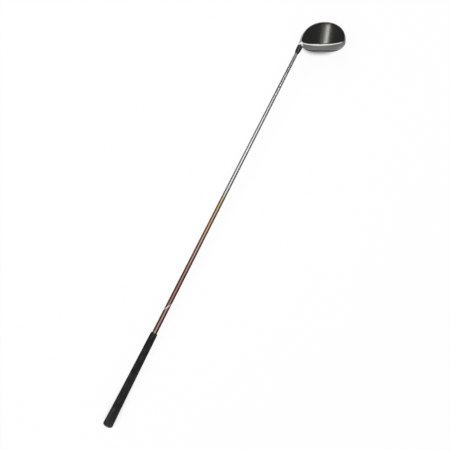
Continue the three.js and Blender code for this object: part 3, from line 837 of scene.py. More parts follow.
@dataclass(frozen=True)
class WovenGloss:
    """Lacquered black composite with a faint twill under the gloss, and painted shade that darkens it and its
    silver paint towards the toe.
    """

    dark: Colour = shade(56, 56, 57)
    thread: Colour = shade(78, 78, 79)
    paint: Colour = shade(178, 179, 176)
    painted_depth: float = 0.0
    bow_middle: float = 36.0
    bow: float = 0.004
    pitch: float = 2.4
    composite_painted_shade_span: tuple[float, float] = (15.0, 60.0)
    paint_painted_shade_span: tuple[float, float] = (0.0, 60.0)

    def make(self, name: str, places: ClubPlaces) -> bpy.types.Material:
        """Makes the material.

        Args:
            name: the material's name.
            places: frames of the club.

        Returns:
            The material.
        """
        tree = ShaderTree(name)
        x, y, _ = tree.along(places.head)
        turn = 2 * math.pi / self.pitch
        step = ((x + y) * (turn / 2)).maths("SINE")
        warp = (x * turn).maths("SINE")
        weft = (y * turn).maths("SINE")
        over = (step * 2.2 + warp - weft).rise(-0.7, 0.7)
        strand = tree.noise(tree.vector(x * 6.0, y * 0.6, 0.0), 1.0, 2.0) * over
        strand = strand + tree.noise(tree.vector(x * 0.6, y * 6.0, 0.0), 1.0, 2.0) * (1.0 - over)
        speck = tree.noise(tree.place(), 420.0, 3.0)
        base = tree.blend(self.dark, self.thread, over * 0.55 + strand * 0.35)
        bow = (x - self.bow_middle) ** 2.0 * self.bow
        painted = (-1.0 * y - bow - self.painted_depth).fall(-0.3, 0.3)
        # Painted shade: the composite goes darker towards the toe, and so does the silver paint over its
        # front.
        base = tree.blend(base, BLACK, x.rise(*self.composite_painted_shade_span) * 0.4)
        paint = tree.blend(self.paint, self.dark, x.rise(*self.paint_painted_shade_span) * 0.38)
        base = tree.blend(base, paint, painted)
        return tree.finish(
            Base_Color=base,
            Metallic=painted * 0.5,
            Roughness=0.42 + (strand - 0.5) * 0.15,
            Specular_IOR_Level=0.1,
            Coat_Weight=0.1 + (speck - 0.5) * 0.06,
            Coat_Roughness=0.08,
            Normal=tree.bump(over * 0.5 + strand * 0.5, 0.08, 0.00005),
        )


@dataclass(frozen=True)
class TurnedMetal:
    """Metal turned on a lathe, with fine rings about an axis."""

    name: str
    colour: Colour
    roughness: float = 0.3
    metallic: float = 1.0
    ring_pitch: float = 0.22
    ring_depth: float = 0.00002
    dirt: float = 0.25

    def make(self, place: PlaceFrame) -> bpy.types.Material:
        """Makes the material.

        Args:
            place: frame whose Z is the axis that the piece was turned on.

        Returns:
            The material.
        """
        tree = ShaderTree(self.name)
        x, y, z = tree.along(place)
        radius = (x * x + y * y) ** 0.5
        rings = tree.noise(tree.vector(radius / self.ring_pitch, z / self.ring_pitch, 0.0), 0.5, 2.0)
        spots = tree.noise(tree.place(), 700.0, 3.0, 0.6)
        worn = tree.blend(self.colour, tuple(0.35 * c for c in self.colour), spots.rise(0.5, 0.8) * self.dirt)
        return tree.finish(
            Base_Color=worn,
            Metallic=self.metallic,
            Roughness=self.roughness + (rings - 0.5) * 0.14 + (spots - 0.5) * 0.08,
            Normal=tree.bump(rings, 0.35, self.ring_depth),
        )


@dataclass(frozen=True)
class MouldedPlastic:
    """Plastic with a fine moulded skin."""

    name: str
    colour: Colour
    roughness: float = 0.3
    coat: float = 0.4

    def make(self) -> bpy.types.Material:
        """Makes the material."""
        tree = ShaderTree(self.name)
        skin = tree.noise(tree.place(), 1500.0, 3.0)
        cloud = tree.noise(tree.place(), 90.0, 2.0)
        light = tuple(min(1.0, c * 1.7 + 0.01) for c in self.colour)
        return tree.finish(
            Base_Color=tree.blend(self.colour, light, cloud.rise(0.35, 0.8) * 0.5),
            Roughness=self.roughness + (skin - 0.5) * 0.12,
            Coat_Weight=self.coat,
            Coat_Roughness=0.12,
            Normal=tree.bump(skin, 0.2, 0.00004),
        )


@dataclass(frozen=True)
class CorkGrain:
    """Pressed cork with dark specks."""

    light: Colour = shade(190, 148, 100)
    dark: Colour = shade(92, 60, 34)

    def make(self) -> bpy.types.Material:
        """Makes the material."""
        tree = ShaderTree("cork_grain")
        cells = {"Vector": tree.place(), "Scale": 1300.0}
        grains = tree.node("ShaderNodeTexVoronoi", {"feature": "F1"}, cells)
        cell = tree.value(grains, "Distance")
        speck = tree.noise(tree.place(), 900.0, 4.0, 0.7)
        return tree.finish(
            Base_Color=tree.blend(self.light, self.dark, speck.rise(0.5, 0.7) * 0.8 + cell * 0.15),
            Roughness=0.85,
            Normal=tree.bump(cell * 0.6 + speck * 0.4, 0.5, 0.0001),
        )


@dataclass(frozen=True)
class PaperTape:
    """Crinkled adhesive tape wound round the butt of the shaft."""

    colour: Colour = shade(226, 219, 198)
    worn: Colour = shade(196, 184, 156)

    def make(self, place: PlaceFrame) -> bpy.types.Material:
        """Makes the material from the shaft's frame.

        Args:
            place: frame whose Z runs up the shaft.

        Returns:
            The material.
        """
        tree = ShaderTree("paper_tape")
        _, _, height = tree.along(place)
        crinkle = tree.noise(tree.vector(height * 1.3, 0.0, 0.0), 1.0, 4.0)
        fibre = tree.noise(tree.place(), 1100.0, 4.0, 0.65)
        return tree.finish(
            Base_Color=tree.blend(self.colour, self.worn, fibre.rise(0.4, 0.8) * 0.6),
            Roughness=0.7 + (fibre - 0.5) * 0.2,
            Normal=tree.bump(crinkle * 0.6 + fibre * 0.4, 0.5, 0.0001),
        )


@dataclass(frozen=True)
class ShaftLacquer:
    """Lacquer that goes from silver at the tip through gold, copper and rose to a hatched deep red."""

    start: float = 40.0
    end: float = 900.0
    stops: tuple[tuple[float, Colour], ...] = (
        # Painted shade: the silver is darker near the tip, by the head, and lighter further up.
        (40.0, shade(206, 206, 205)),
        (180.0, shade(206, 206, 205)),
        (260.0, shade(213, 213, 212)),
        (330.0, shade(228, 228, 228)),
        (455.0, shade(228, 228, 226)),
        (480.0, shade(206, 204, 182)),
        (500.0, shade(204, 168, 122)),
        (600.0, shade(198, 156, 122)),
        (650.0, shade(186, 148, 132)),
        (710.0, shade(168, 122, 108)),
        (795.0, shade(162, 114, 102)),
        (825.0, shade(184, 146, 140)),
        (900.0, shade(194, 140, 128)),
    )
    band_start: float = 788.0
    band_end: float = 795.0
    band_slant: float = 10.0
    hatch_start: float = 818.0
    hatch_end: float = 878.0
    hatch_pitch: float = 3.4
    hatch_slant: float = 3.6
    hatch_red: Colour = shade(112, 54, 48)
    band_pale: Colour = shade(236, 230, 222)
    ring_dark: Colour = (0.01, 0.01, 0.01)
    ring_start: float = 882.0

    def make(self, place: PlaceFrame) -> bpy.types.Material:
        """Makes the material.

        Args:
            place: frame whose Z runs up the shaft.

        Returns:
            The material.
        """
        tree = ShaderTree("shaft_lacquer")
        x, y, height = tree.along(place)
        span = self.end - self.start
        stops = [((at - self.start) / span, colour) for at, colour in self.stops]
        share = (height - self.start) / span
        flake = tree.noise(tree.place(), 2400.0, 2.0)
        cloud = tree.noise(tree.vector(x * 0.08, y * 0.08, height * 0.02), 1.0, 3.0)
        base = tree.ramp(share + (cloud - 0.5) * 0.012, stops)
        angle = y.maths("ARCTAN2", x)
        slant = height - angle * self.hatch_slant
        hatch = (slant * (2 * math.pi / self.hatch_pitch)).maths("SINE").rise(-0.1, 0.5)
        hatch = hatch * height.band(self.hatch_start, self.hatch_end, 2.0)
        base = tree.blend(base, self.hatch_red, hatch * 0.6)
        band = (height - angle * self.band_slant).band(self.band_start, self.band_end, 0.8) * 0.75
        base = tree.blend(base, self.band_pale, band)
        base = tree.blend(base, (0.9, 0.9, 0.9), flake.rise(0.6, 0.85) * 0.06)
        # A near-black ring on the shaft just below the grip's mouth.
        ring = height.rise(self.ring_start, self.ring_start + 2.5) * 0.8
        base = tree.blend(base, self.ring_dark, ring)
        return tree.finish(
            Base_Color=base,
            Metallic=0.96 - band * 0.6,
            Roughness=0.16 + (flake - 0.5) * 0.08,
            Coat_Weight=1.0,
            Coat_Roughness=0.08,
            Normal=tree.bump(flake, 0.02, 0.000005),
        )


@dataclass(frozen=True)
class MouldedRubber:
    """Charcoal rubber, a little paler where hands have worn it, with a painted highlight on the cap's rounded
    rim.
    """

    colour: Colour = shade(16, 16, 16)
    worn: Colour = shade(66, 66, 64)
    rim: Colour = shade(110, 110, 107)
    mouth: float = 887.0
    mouth_radius: float = 9.2
    taper: float = 0.0125
    rim_highlight_edge: tuple[float, float] = (1156.5, 1160.5)

    def make(self, place: PlaceFrame) -> bpy.types.Material:
        """Makes the material from the shaft's frame.

        Args:
            place: frame whose Z runs up the shaft.

        Returns:
            The material.
        """
        tree = ShaderTree("moulded_rubber")
        x, y, height = tree.along(place)
        skin = tree.noise(tree.place(), 1700.0, 4.0, 0.65)
        patch = tree.noise(tree.vector(x * 0.12, y * 0.12, height * 0.05), 1.0, 4.0, 0.6)
        radius = (x * x + y * y) ** 0.5
        proud = (radius - self.mouth_radius - (height - self.mouth) * self.taper).rise(0.0, 0.9)
        wear = patch.rise(0.4, 0.75) * 0.6 + proud * 0.25
        base = tree.blend(self.colour, self.worn, wear)
        # Painted highlight: the cap's rounded rim is made paler.
        base = tree.blend(base, self.rim, height.rise(*self.rim_highlight_edge) * 0.8)
        return tree.finish(
            Base_Color=base,
            Roughness=0.72 + (skin - 0.5) * 0.2,
            Specular_IOR_Level=0.35,
            Sheen_Weight=0.15,
            Sheen_Roughness=0.4,
            Normal=tree.bump(skin, 0.55, 0.00012),
        )


# ---------------------------------------------------------------------------------------------- head


@dataclass(frozen=True)
class HeadSection:
    """Upright cut through the head at one depth behind the face."""

    toe: float
    heel: float
    top: float
    bottom: float
    x: float
    z: float
    powers: tuple[float, float, float, float]
    lift: float


@dataclass(frozen=True)
class HeadForm:
    """The head's outer surface, the same rule that the frame's shell follows."""

    depth: float = 112.0
    face_lead: float = 22.49
    bulge_radius: float = 305.0
    roll_radius: float = 300.0
    face_middle_x: float = 28.0
    face_middle_z: float = 29.0
    front_toe: float = 78.0
    girth_toe: float = 83.72
    front_heel: float = 30.0
    girth_heel: float = 29.5
    front_top: float = 58.2
    crown_top: float = 62.2
    crown_toe_lift: float = 7.5
    crown_lift_start: float = 0.25
    front_bottom: float = 4.8
    sole_level: float = 0.12
    tail_x: float = 28.0
    tail_z: float = 22.0
    section_x: float = 22.0
    toe_girth_depth: float = 24.0
    heel_girth_depth: float = 36.0
    crown_top_depth: float = 42.0
    sole_bottom_depth: float = 22.0
    top_edge: float = 3.2
    side_edge: float = 1.2
    toe_fullness: tuple[float, float] = (2.5, 2.3)
    heel_fullness: tuple[float, float] = (2.1, 2.0)
    crown_fullness: tuple[float, float] = (2.3, 1.9)
    sole_fullness: tuple[float, float] = (2.3, 1.8)
    front_powers: tuple[float, float, float, float] = (4.4, 1.9, 2.12, 2.02)
    rear_powers: tuple[float, float, float, float] = (2.7, 2.45, 2.15, 2.35)
    front_girth_share: float = 0.74
    rear_girth_share: float = 0.42
    section_blend_share: float = 0.75
    sides: int = 176
    face_rings: int = 12
    edge_rings: int = 9
    body_rings: int = 60

    @staticmethod
    def _side(
        depth: float, girth_depth: float, end: float, front: float, girth: float, tail: float,
        fullness: tuple[float, float],
    ) -> float:
        """One side of the head along its depth: from the front edge to its fullest, then in to the tail.

        Args:
            depth: distance behind the leading edge.
            girth_depth: where the side is fullest.
            end: where the head ends.
            front, girth, tail: the side's place at the front edge, at its fullest and at the tail.
            fullness: powers of the curve in to the tail.

        Returns:
            The side's place.
        """
        if depth < girth_depth:
            return girth - (girth - front) * ((girth_depth - depth) / girth_depth) ** 2
        along = min((depth - girth_depth) / (end - girth_depth), 1.0)
        return tail + (girth - tail) * max(1.0 - along ** fullness[0], 0.0) ** (1.0 / fullness[1])

    def section(self, depth: float, inset: float = 0.0) -> HeadSection:
        """Works out the section at a depth.

        Args:
            depth: distance behind the leading edge.
            inset: how far the section is drawn in.

        Returns:
            The section.
        """
        end = self.depth - inset
        along = depth / self.depth
        blend = min(along / self.section_blend_share, 1.0)
        eased = blend * blend * (3.0 - 2.0 * blend)
        toe = self._side(
            depth, self.toe_girth_depth, end, self.front_toe - inset, self.girth_toe - inset, self.tail_x,
            self.toe_fullness,
        )
        heel = self._side(
            depth, self.heel_girth_depth, end, inset - self.front_heel, inset - self.girth_heel, self.tail_x,
            self.heel_fullness,
        )
        top = self._side(
            depth, self.crown_top_depth, end, self.front_top - inset, self.crown_top - inset, self.tail_z,
            self.crown_fullness,
        )
        bottom = self._side(
            depth, self.sole_bottom_depth, end, self.front_bottom + inset, self.sole_level + inset,
            self.tail_z, self.sole_fullness,
        )
        powers = tuple(mix(a, b, eased) for a, b in zip(self.front_powers, self.rear_powers))
        x = mix(self.section_x, self.tail_x, along)
        z = mix(bottom, top, mix(self.front_girth_share, self.rear_girth_share, eased))
        lift = self.crown_toe_lift * 4.0 * along * (1.0 - along)
        return HeadSection(toe, heel, top, bottom, x, z, powers, lift)

    def ring(self, section: HeadSection, angles: Points, edge_share: float, margin: float = 0.0) -> Points:
        """Points round a section.

        Args:
            section: the section.
            angles: angles from the toe, counter-clockwise.
            edge_share: share of the face's rounded edge that it is drawn in by.
            margin: how far it is drawn in evenly.

        Returns:
            Pairs of X and Z.
        """
        c, s = np.cos(angles), np.sin(angles)
        toe_top, heel_top, toe_bottom, heel_bottom = section.powers
        power = np.where(
            s > 0, np.where(c > 0, toe_top, heel_top), np.where(c > 0, toe_bottom, heel_bottom),
        )
        reach = (np.abs(c) ** power + np.abs(s) ** power) ** (-1.0 / power)
        across = np.where(c > 0, section.toe - section.x, section.x - section.heel)
        outward = np.clip(mix(self.crown_lift_start, 1.0, reach * c), 0.0, 1.0)
        top = section.top + section.lift * outward * outward * (3.0 - 2.0 * outward)
        up = np.where(s > 0, top - section.z, section.z - section.bottom)
        drop = edge_share * np.where(s > 0, self.top_edge, self.side_edge) + margin
        x = section.x + reach * c * (across - edge_share * self.side_edge - margin)
        z = section.z + reach * s * (up - drop)
        return np.column_stack([x, z])

    def setback(self, x: Points, z: Points) -> Points:
        """How far the face lies behind the leading edge: loft, bulge and roll."""
        bulge = (x - self.face_middle_x) ** 2 / (2 * self.bulge_radius)
        roll = (z - self.face_middle_z) ** 2 / (2 * self.roll_radius)
        return math.tan(LOFT) * z + bulge + roll

    def angles(self) -> Points:
        """Angles of the corners round a ring."""
        return 2 * np.pi * (np.arange(self.sides) + 0.5) / self.sides

    def body(self, name: str, inset: float, place: PlaceFrame, back: float = 0.0) -> bpy.types.Object:
        """Makes the surface, or a smaller one inside it, as a closed body.

        Args:
            name: the object's name.
            inset: how far inside the outer surface it lies.
            place: the head's frame.
            back: how far the whole of it is moved back from the face.

        Returns:
            A closed body.
        """
        angles = self.angles()
        end = self.depth - inset
        front = self.section(inset, inset)
        middle = np.array([front.x, (front.top + front.bottom) / 2])
        rings: list[Points] = []
        rim = self.ring(front, angles, 1.0)
        for index in range(self.face_rings):
            flat = middle + (rim - middle) * (index / self.face_rings)
            flat = flat[:1] if index == 0 else flat
            y = self.face_lead - inset - self.setback(flat[:, 0], flat[:, 1])
            rings.append(np.column_stack([flat[:, 0], y, flat[:, 1]]))
        levels = []
        for index in range(self.edge_rings + 1):
            turn = (math.pi / 2) * index / self.edge_rings
            levels.append((inset + self.top_edge * (1 - math.cos(turn)), 1 - math.sin(turn)))
        start = inset + self.top_edge
        for index in range(1, self.body_rings + 1):
            levels.append((start + (end - start) * math.sin((math.pi / 2) * index / self.body_rings), 0.0))
        for depth, edge_share in levels:
            along = (depth - inset) / (end - inset)
            flat = self.ring(self.section(depth, inset), angles, edge_share)
            flat = flat[:1] if along >= 1.0 - 1e-9 else flat
            y = self.face_lead - depth - self.setback(flat[:, 0], flat[:, 1]) * (1 - along ** 2)
            rings.append(np.column_stack([flat[:, 0], y, flat[:, 1]]))
        return self._skin(name, rings, place, back)

    def _skin(self, name: str, rings: list[Points], place: PlaceFrame, back: float) -> bpy.types.Object:
        """Joins rings of points to a closed body, of which the first and the last are single points.

        Args:
            name: the object's name.
            rings: points of each ring, from the face to the tail.
            place: the head's frame.
            back: how far all of it is moved back from the face.

        Returns:
            A closed body.
        """
        starts = np.cumsum([0] + [len(ring) for ring in rings])
        faces = []
        for k in range(1, len(rings)):
            before, after = rings[k - 1], rings[k]
            for i in range(self.sides):
                j = (i + 1) % self.sides
                if len(before) == 1:
                    faces.append((starts[k - 1], starts[k] + j, starts[k] + i))
                elif len(after) == 1:
                    faces.append((starts[k - 1] + i, starts[k - 1] + j, starts[k]))
                else:
                    faces.append((starts[k - 1] + i, starts[k - 1] + j, starts[k] + j, starts[k] + i))
        points = np.vstack(rings)
        points[:, 1] -= back
        return body_from(name, points, faces, place)


def egg(
    x: float, y: float, right: float, left: float, front: float, rear: float, power: float, sides: int = 160,
) -> Points:
    """A closed outline of four superellipse quarters about a middle.

    Args:
        x, y: the middle.
        right, left, front, rear: how far it reaches to each side.
        power: how full its corners are.
        sides: corners round it.

    Returns:
        Pairs of X and Y.
    """
    angles = 2 * np.pi * (np.arange(sides) + 0.5) / sides
    c, s = np.cos(angles), np.sin(angles)
    reach = (np.abs(c) ** power + np.abs(s) ** power) ** (-1.0 / power)
    return np.column_stack([
        x + reach * c * np.where(c > 0, right, left),
        y + reach * s * np.where(s > 0, front, rear),
    ])


class SharedSizes:
    """Sizes that more than one class goes by: the gap, driver sockets, the sleeve and its bolt."""

    gap: float = 0.25
    bit_overrun: float = 5.0
    socket_share: float = 0.55
    socket_depth_share: float = 0.6
    shank_radius: float = 2.4
    sleeve_bottom: float = 27.8
    sleeve_radius: float = 5.4
    spline_length: float = 7.0
    spline_height: float = 0.6
    spline_count: int = 12


@dataclass
class DriverHead(SharedSizes):
    """The hollow head: shell with hosel, face, crown and sole panels and the filler of the flex slot."""

    places: ClubPlaces
    form: HeadForm = field(default_factory=HeadForm)
    overrun: float = 5.0
    panel_thickness: float = 1.2
    face_thickness: float = 3.0
    face_margin: float = 0.3
    face_prism_back: float = -10.0
    prism_top: float = 130.0
    prism_bottom: float = -65.0
    hosel_face_wall: float = 0.3
    filler_thickness: float = 2.6
    crown_front: float = 38.0
    crown_bow: float = 6.0
    crown_margin: float = 9.0
    crown_power: float = 2.2
    crown_paint_end: float = 45.0
    tail_flat: float = 5.0
    slot_depth: float = 17.0
    slot_length: float = 52.0
    slot_width: float = 5.5
    slot_x: float = 36.0
    sole_front: float = 27.0
    sole_rear: float = 92.0
    sole_widest_share: float = 0.36
    keel_width: float = 24.0
    sole_reach_toe: float = 42.0
    sole_reach_heel: float = 24.0
    sole_inner_share: float = 0.33
    sole_power: float = 2.6
    hosel_radius: float = 6.75
    hosel_top: float = 62.0
    hosel_bottom: float = 23.75
    hosel_flare: float = 1.3
    hosel_flare_top: float = 59.0
    hosel_flare_length: float = 24.0
    recess_radius: float = 5.2
    recess_length: float = 62.0
    bolt_shelf: float = 22.0
    shelf_top: float = 25.5

    def crown_outline(self, drawn_in: float) -> Points:
        """Plan outline of the crown panel.

        Args:
            drawn_in: how far it is drawn in from its pocket.

        Returns:
            Pairs of X and Y.
        """
        section = self.form.section(self.crown_front)
        return egg(
            x=self.form.tail_x,
            y=self.form.face_lead - self.crown_front,
            right=section.toe - self.form.tail_x - self.crown_margin - drawn_in,
            left=self.form.tail_x - section.heel - self.crown_margin - drawn_in,
            front=self.crown_bow - drawn_in,
            rear=self.form.depth - self.crown_front - self.crown_margin - self.tail_flat - drawn_in,
            power=self.crown_power,
            sides=240,
        )

    def sole_outline(self, side: int, drawn_in: float) -> Points:
        """Plan outline of the sole panel on the toe (+1) or heel (-1) side of the keel.

        Args:
            side: +1 or -1.
            drawn_in: how far it is drawn in from its pocket.

        Returns:
            Pairs of X and Y.
        """
        widest = self.sole_front + (self.sole_rear - self.sole_front) * self.sole_widest_share
        reach = self.sole_reach_toe if side > 0 else self.sole_reach_heel
        inner = reach * self.sole_inner_share
        outward, inward = reach - inner - drawn_in, inner - drawn_in
        return egg(
            x=self.form.tail_x + side * (self.keel_width / 2 + inner),
            y=self.form.face_lead - widest,
            right=outward if side > 0 else inward,
            left=inward if side > 0 else outward,
            front=widest - self.sole_front - drawn_in,
            rear=self.sole_rear - widest - drawn_in,
            power=self.sole_power,
        )

    def slot_outline(self, drawn_in: float) -> Points:
        """Plan outline of the flex slot."""
        half, wide = self.slot_length / 2 - drawn_in, self.slot_width / 2 - drawn_in
        return egg(self.slot_x, self.form.face_lead - self.slot_depth, half, half, wide, wide, 6.0, 96)

    def spline_outline(self, clearance: float) -> Points:
        """Outline of the seat that the sleeve's splines drop into.

        Args:
            clearance: room round the splines.

        Returns:
            Pairs of X and Y.
        """
        widened = clearance / (2 * math.pi * self.sleeve_radius / self.spline_count)
        root = self.sleeve_radius - self.spline_height + clearance
        tip = self.sleeve_radius + clearance
        corners = [
            (0.12 - widened, root), (0.28 - widened, tip), (0.56 + widened, tip), (0.72 + widened, root),
        ]
        points = []
        for tooth in range(self.spline_count):
            for share, radius in corners:
                angle = 2 * math.pi * (tooth + share) / self.spline_count
                points.append((radius * math.cos(angle), radius * math.sin(angle)))
        return np.array(points)

    def hosel(self, name: str, grown: float) -> bpy.types.Object:
        """The hosel's outside, which swells a little where it leaves the crown.

        Args:
            name: the object's name.
            grown: how far it is let out.

        Returns:
            A closed body.
        """
        radius = self.hosel_radius + grown
        steps = 30
        swell = [
            (
                radius + self.hosel_flare * (1 - math.cos(2 * math.pi * i / steps)) / 2,
                self.hosel_flare_top - self.hosel_flare_length * (1 - i / steps),
            )
            for i in range(steps + 1)
        ]
        top = self.hosel_top + grown
        lip = [(radius, top - 0.5), (radius - 0.15, top - 0.15), (radius - 0.5, top)]
        profile = [(0.0, self.hosel_bottom), (radius, self.hosel_bottom), *swell, *lip, (0.0, top)]
        return turned(name, profile, self.places.axis, 96)

    def face_prism(self, name: str, drawn_in: float) -> bpy.types.Object:
        """Room of the face plate as a prism through the front wall, clear of the hosel.

        Args:
            name: the object's name.
            drawn_in: how far it is drawn in.

        Returns:
            A closed body.
        """
        outline = self.form.ring(self.form.section(0.0), self.form.angles(), 1.0, self.face_margin + drawn_in)
        front, back = self.form.face_lead + self.overrun, self.face_prism_back
        head = self.places.head
        upright = PlaceFrame(head.origin, head.x, head.z, -head.y)
        body = prism(name, outline, -front, -back, upright)
        return carve(body, [(Cut.TAKE, self.hosel("hosel_room", self.hosel_face_wall + drawn_in))])

    def plan_prism(self, outline: Points, upper: bool) -> bpy.types.Object:
        """A prism of a plan outline through the upper or the lower half of the head."""
        middle = self.form.tail_z
        low, high = (middle, self.prism_top) if upper else (self.prism_bottom, middle)
        return prism("plan_prism", outline, low, high, self.places.head)

    def pocket(self, outline: Points, upper: bool, thickness: float) -> bpy.types.Object:
        """Room of a panel: its prism, without what lies deeper than the panel's bed."""
        bed = self.form.body("bed", thickness, self.places.head)
        return carve(self.plan_prism(outline, upper), [(Cut.TAKE, bed)])

    def panel(self, name: str, outline: Points, upper: bool, thickness: float) -> bpy.types.Object:
        """A panel of even thickness that lies flush in the head's surface.

        Args:
            name: the object's name.
            outline: its plan.
            upper: whether it lies in the crown.
            thickness: its thickness.

        Returns:
            The panel.
        """
        outer = self.form.body("outer", 0.0, self.places.head)
        under = self.form.body("under", thickness, self.places.head)
        body = carve(self.plan_prism(outline, upper), [(Cut.KEEP, outer), (Cut.TAKE, under)])
        body.name = name
        return body

    def shell(self) -> bpy.types.Object:
        """The cast shell with its hosel, pockets, ports and bores."""
        axis, tail, weight = self.places.axis, self.places.tail, self.places.weight
        gap, over = self.gap, self.overrun
        bed = self.panel_thickness + gap
        face_room = carve(
            self.face_prism("face_room", 0.0),
            [(Cut.TAKE, self.form.body("behind", 0.0, self.places.head, self.face_thickness + gap))],
        )
        small = SoleHardware(self.places)
        thread_end = small.tail_length + small.screw_thread_length + over
        seat_top = small.recess + small.weight_height + gap
        behind_tail = 2 * self.form.depth
        steps = [
            (Cut.ADD, self.hosel("hosel", 0.0)),
            (Cut.TAKE, self.pocket(self.crown_outline(0.0), True, bed)),
            (Cut.TAKE, self.pocket(self.sole_outline(1, 0.0), False, bed)),
            (Cut.TAKE, self.pocket(self.sole_outline(-1, 0.0), False, bed)),
            (Cut.TAKE, self.pocket(self.slot_outline(0.0), False, self.filler_thickness + gap)),
            (Cut.TAKE, face_room),
            (Cut.TAKE, rod("bolt_recess", self.recess_radius, -self.recess_length, self.bolt_shelf, axis)),
            (Cut.TAKE, rod("bolt_hole", self.shank_radius + gap, -over, self.hosel_top, axis)),
            (Cut.TAKE, rod(
                "sleeve_bore", self.sleeve_radius + gap, self.sleeve_bottom + self.spline_length - gap,
                self.hosel_top + over, axis, 96,
            )),
            (Cut.TAKE, prism(
                "spline_seat", self.spline_outline(gap), self.shelf_top, self.hosel_top + over, axis,
            )),
            (Cut.TAKE, rod("tail_port", small.tail_radius + gap, -small.tail_length - gap, over, tail)),
            (Cut.TAKE, rod("tail_thread", small.screw_shank_radius + gap, -thread_end, 0.0, tail, 32)),
            (Cut.TAKE, rod("weight_seat", small.weight_radius + gap, -over, seat_top, weight)),
            (Cut.TAKE, rod("tail_cut", behind_tail, 0.0, behind_tail, tail, 32)),
        ]
        return carve(self.form.body("shell", 0.0, self.places.head), steps)

    def face(self) -> bpy.types.Object:
        """The face plate, as thick as the front wall."""
        outer = self.form.body("outer", 0.0, self.places.head)
        behind = self.form.body("behind", 0.0, self.places.head, self.face_thickness)
        return carve(self.face_prism("face", self.gap), [(Cut.KEEP, outer), (Cut.TAKE, behind)])

    def build(self) -> list[bpy.types.Object]:
        """Builds and dresses the head's pieces and lets them ride on the head.

        Returns:
            The pieces.
        """
        gap, thickness = self.gap, self.panel_thickness
        composite = WovenGloss(painted_depth=-self.form.face_lead).make("composite_gloss", self.places)
        painted = self.crown_paint_end - self.form.face_lead
        crown_gloss = WovenGloss(painted_depth=painted).make("crown_gloss", self.places)
        filler = MouldedPlastic("slot_rubber", shade(34, 34, 35), 0.55, 0.0).make()
        plan = [
            (self.shell(), "head_body", "titanium_shell", ShellPaint().make(self.places, self.form)),
            (self.face(), "face_plate", "face_alloy", BrushedFace().make(self.places)),
            (
                self.panel("crown", self.crown_outline(gap), True, thickness),
                "crown_panel", "composite_black", crown_gloss,
            ),
            (
                self.panel("sole_cover_toe", self.sole_outline(1, gap), False, thickness),
                "sole_panel_toe", "composite_black", composite,
            ),
            (
                self.panel("sole_cover_heel", self.sole_outline(-1, gap), False, thickness),
                "sole_panel_heel", "composite_black", composite,
            ),
            (
                self.panel("flex_filler", self.slot_outline(gap), False, self.filler_thickness),
                "slot_insert", "slot_filler", filler,
            ),
        ]
        return [settle(piece, node, "head", finish) for piece, node, slot, finish in plan]


def settle(
    piece: bpy.types.Object, node: str, body: str, finish: bpy.types.Material,
    crease: float = 30.0,
) -> bpy.types.Object:
    """Dresses a piece, puts it on its body and lets it stand for its solid.

    Args:
        piece: the finished shape.
        node: the solid that it stands for.
        body: the moving body that carries it.
        finish: its material.
        crease: angle in degrees above which its edges stay sharp.

    Returns:
        The piece.
    """
    piece.data.materials.clear()
    piece.data.materials.append(finish)
    for face in piece.data.polygons:
        face.material_index = 0
    smooth(piece, crease)
    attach(piece, body)
    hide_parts(node)
    LOG.info("%s: %d faces, on %s, for %s", piece.name, len(piece.data.polygons), body, node)
    return piece


# ---------------------------------------------------------------------------------------------- weights


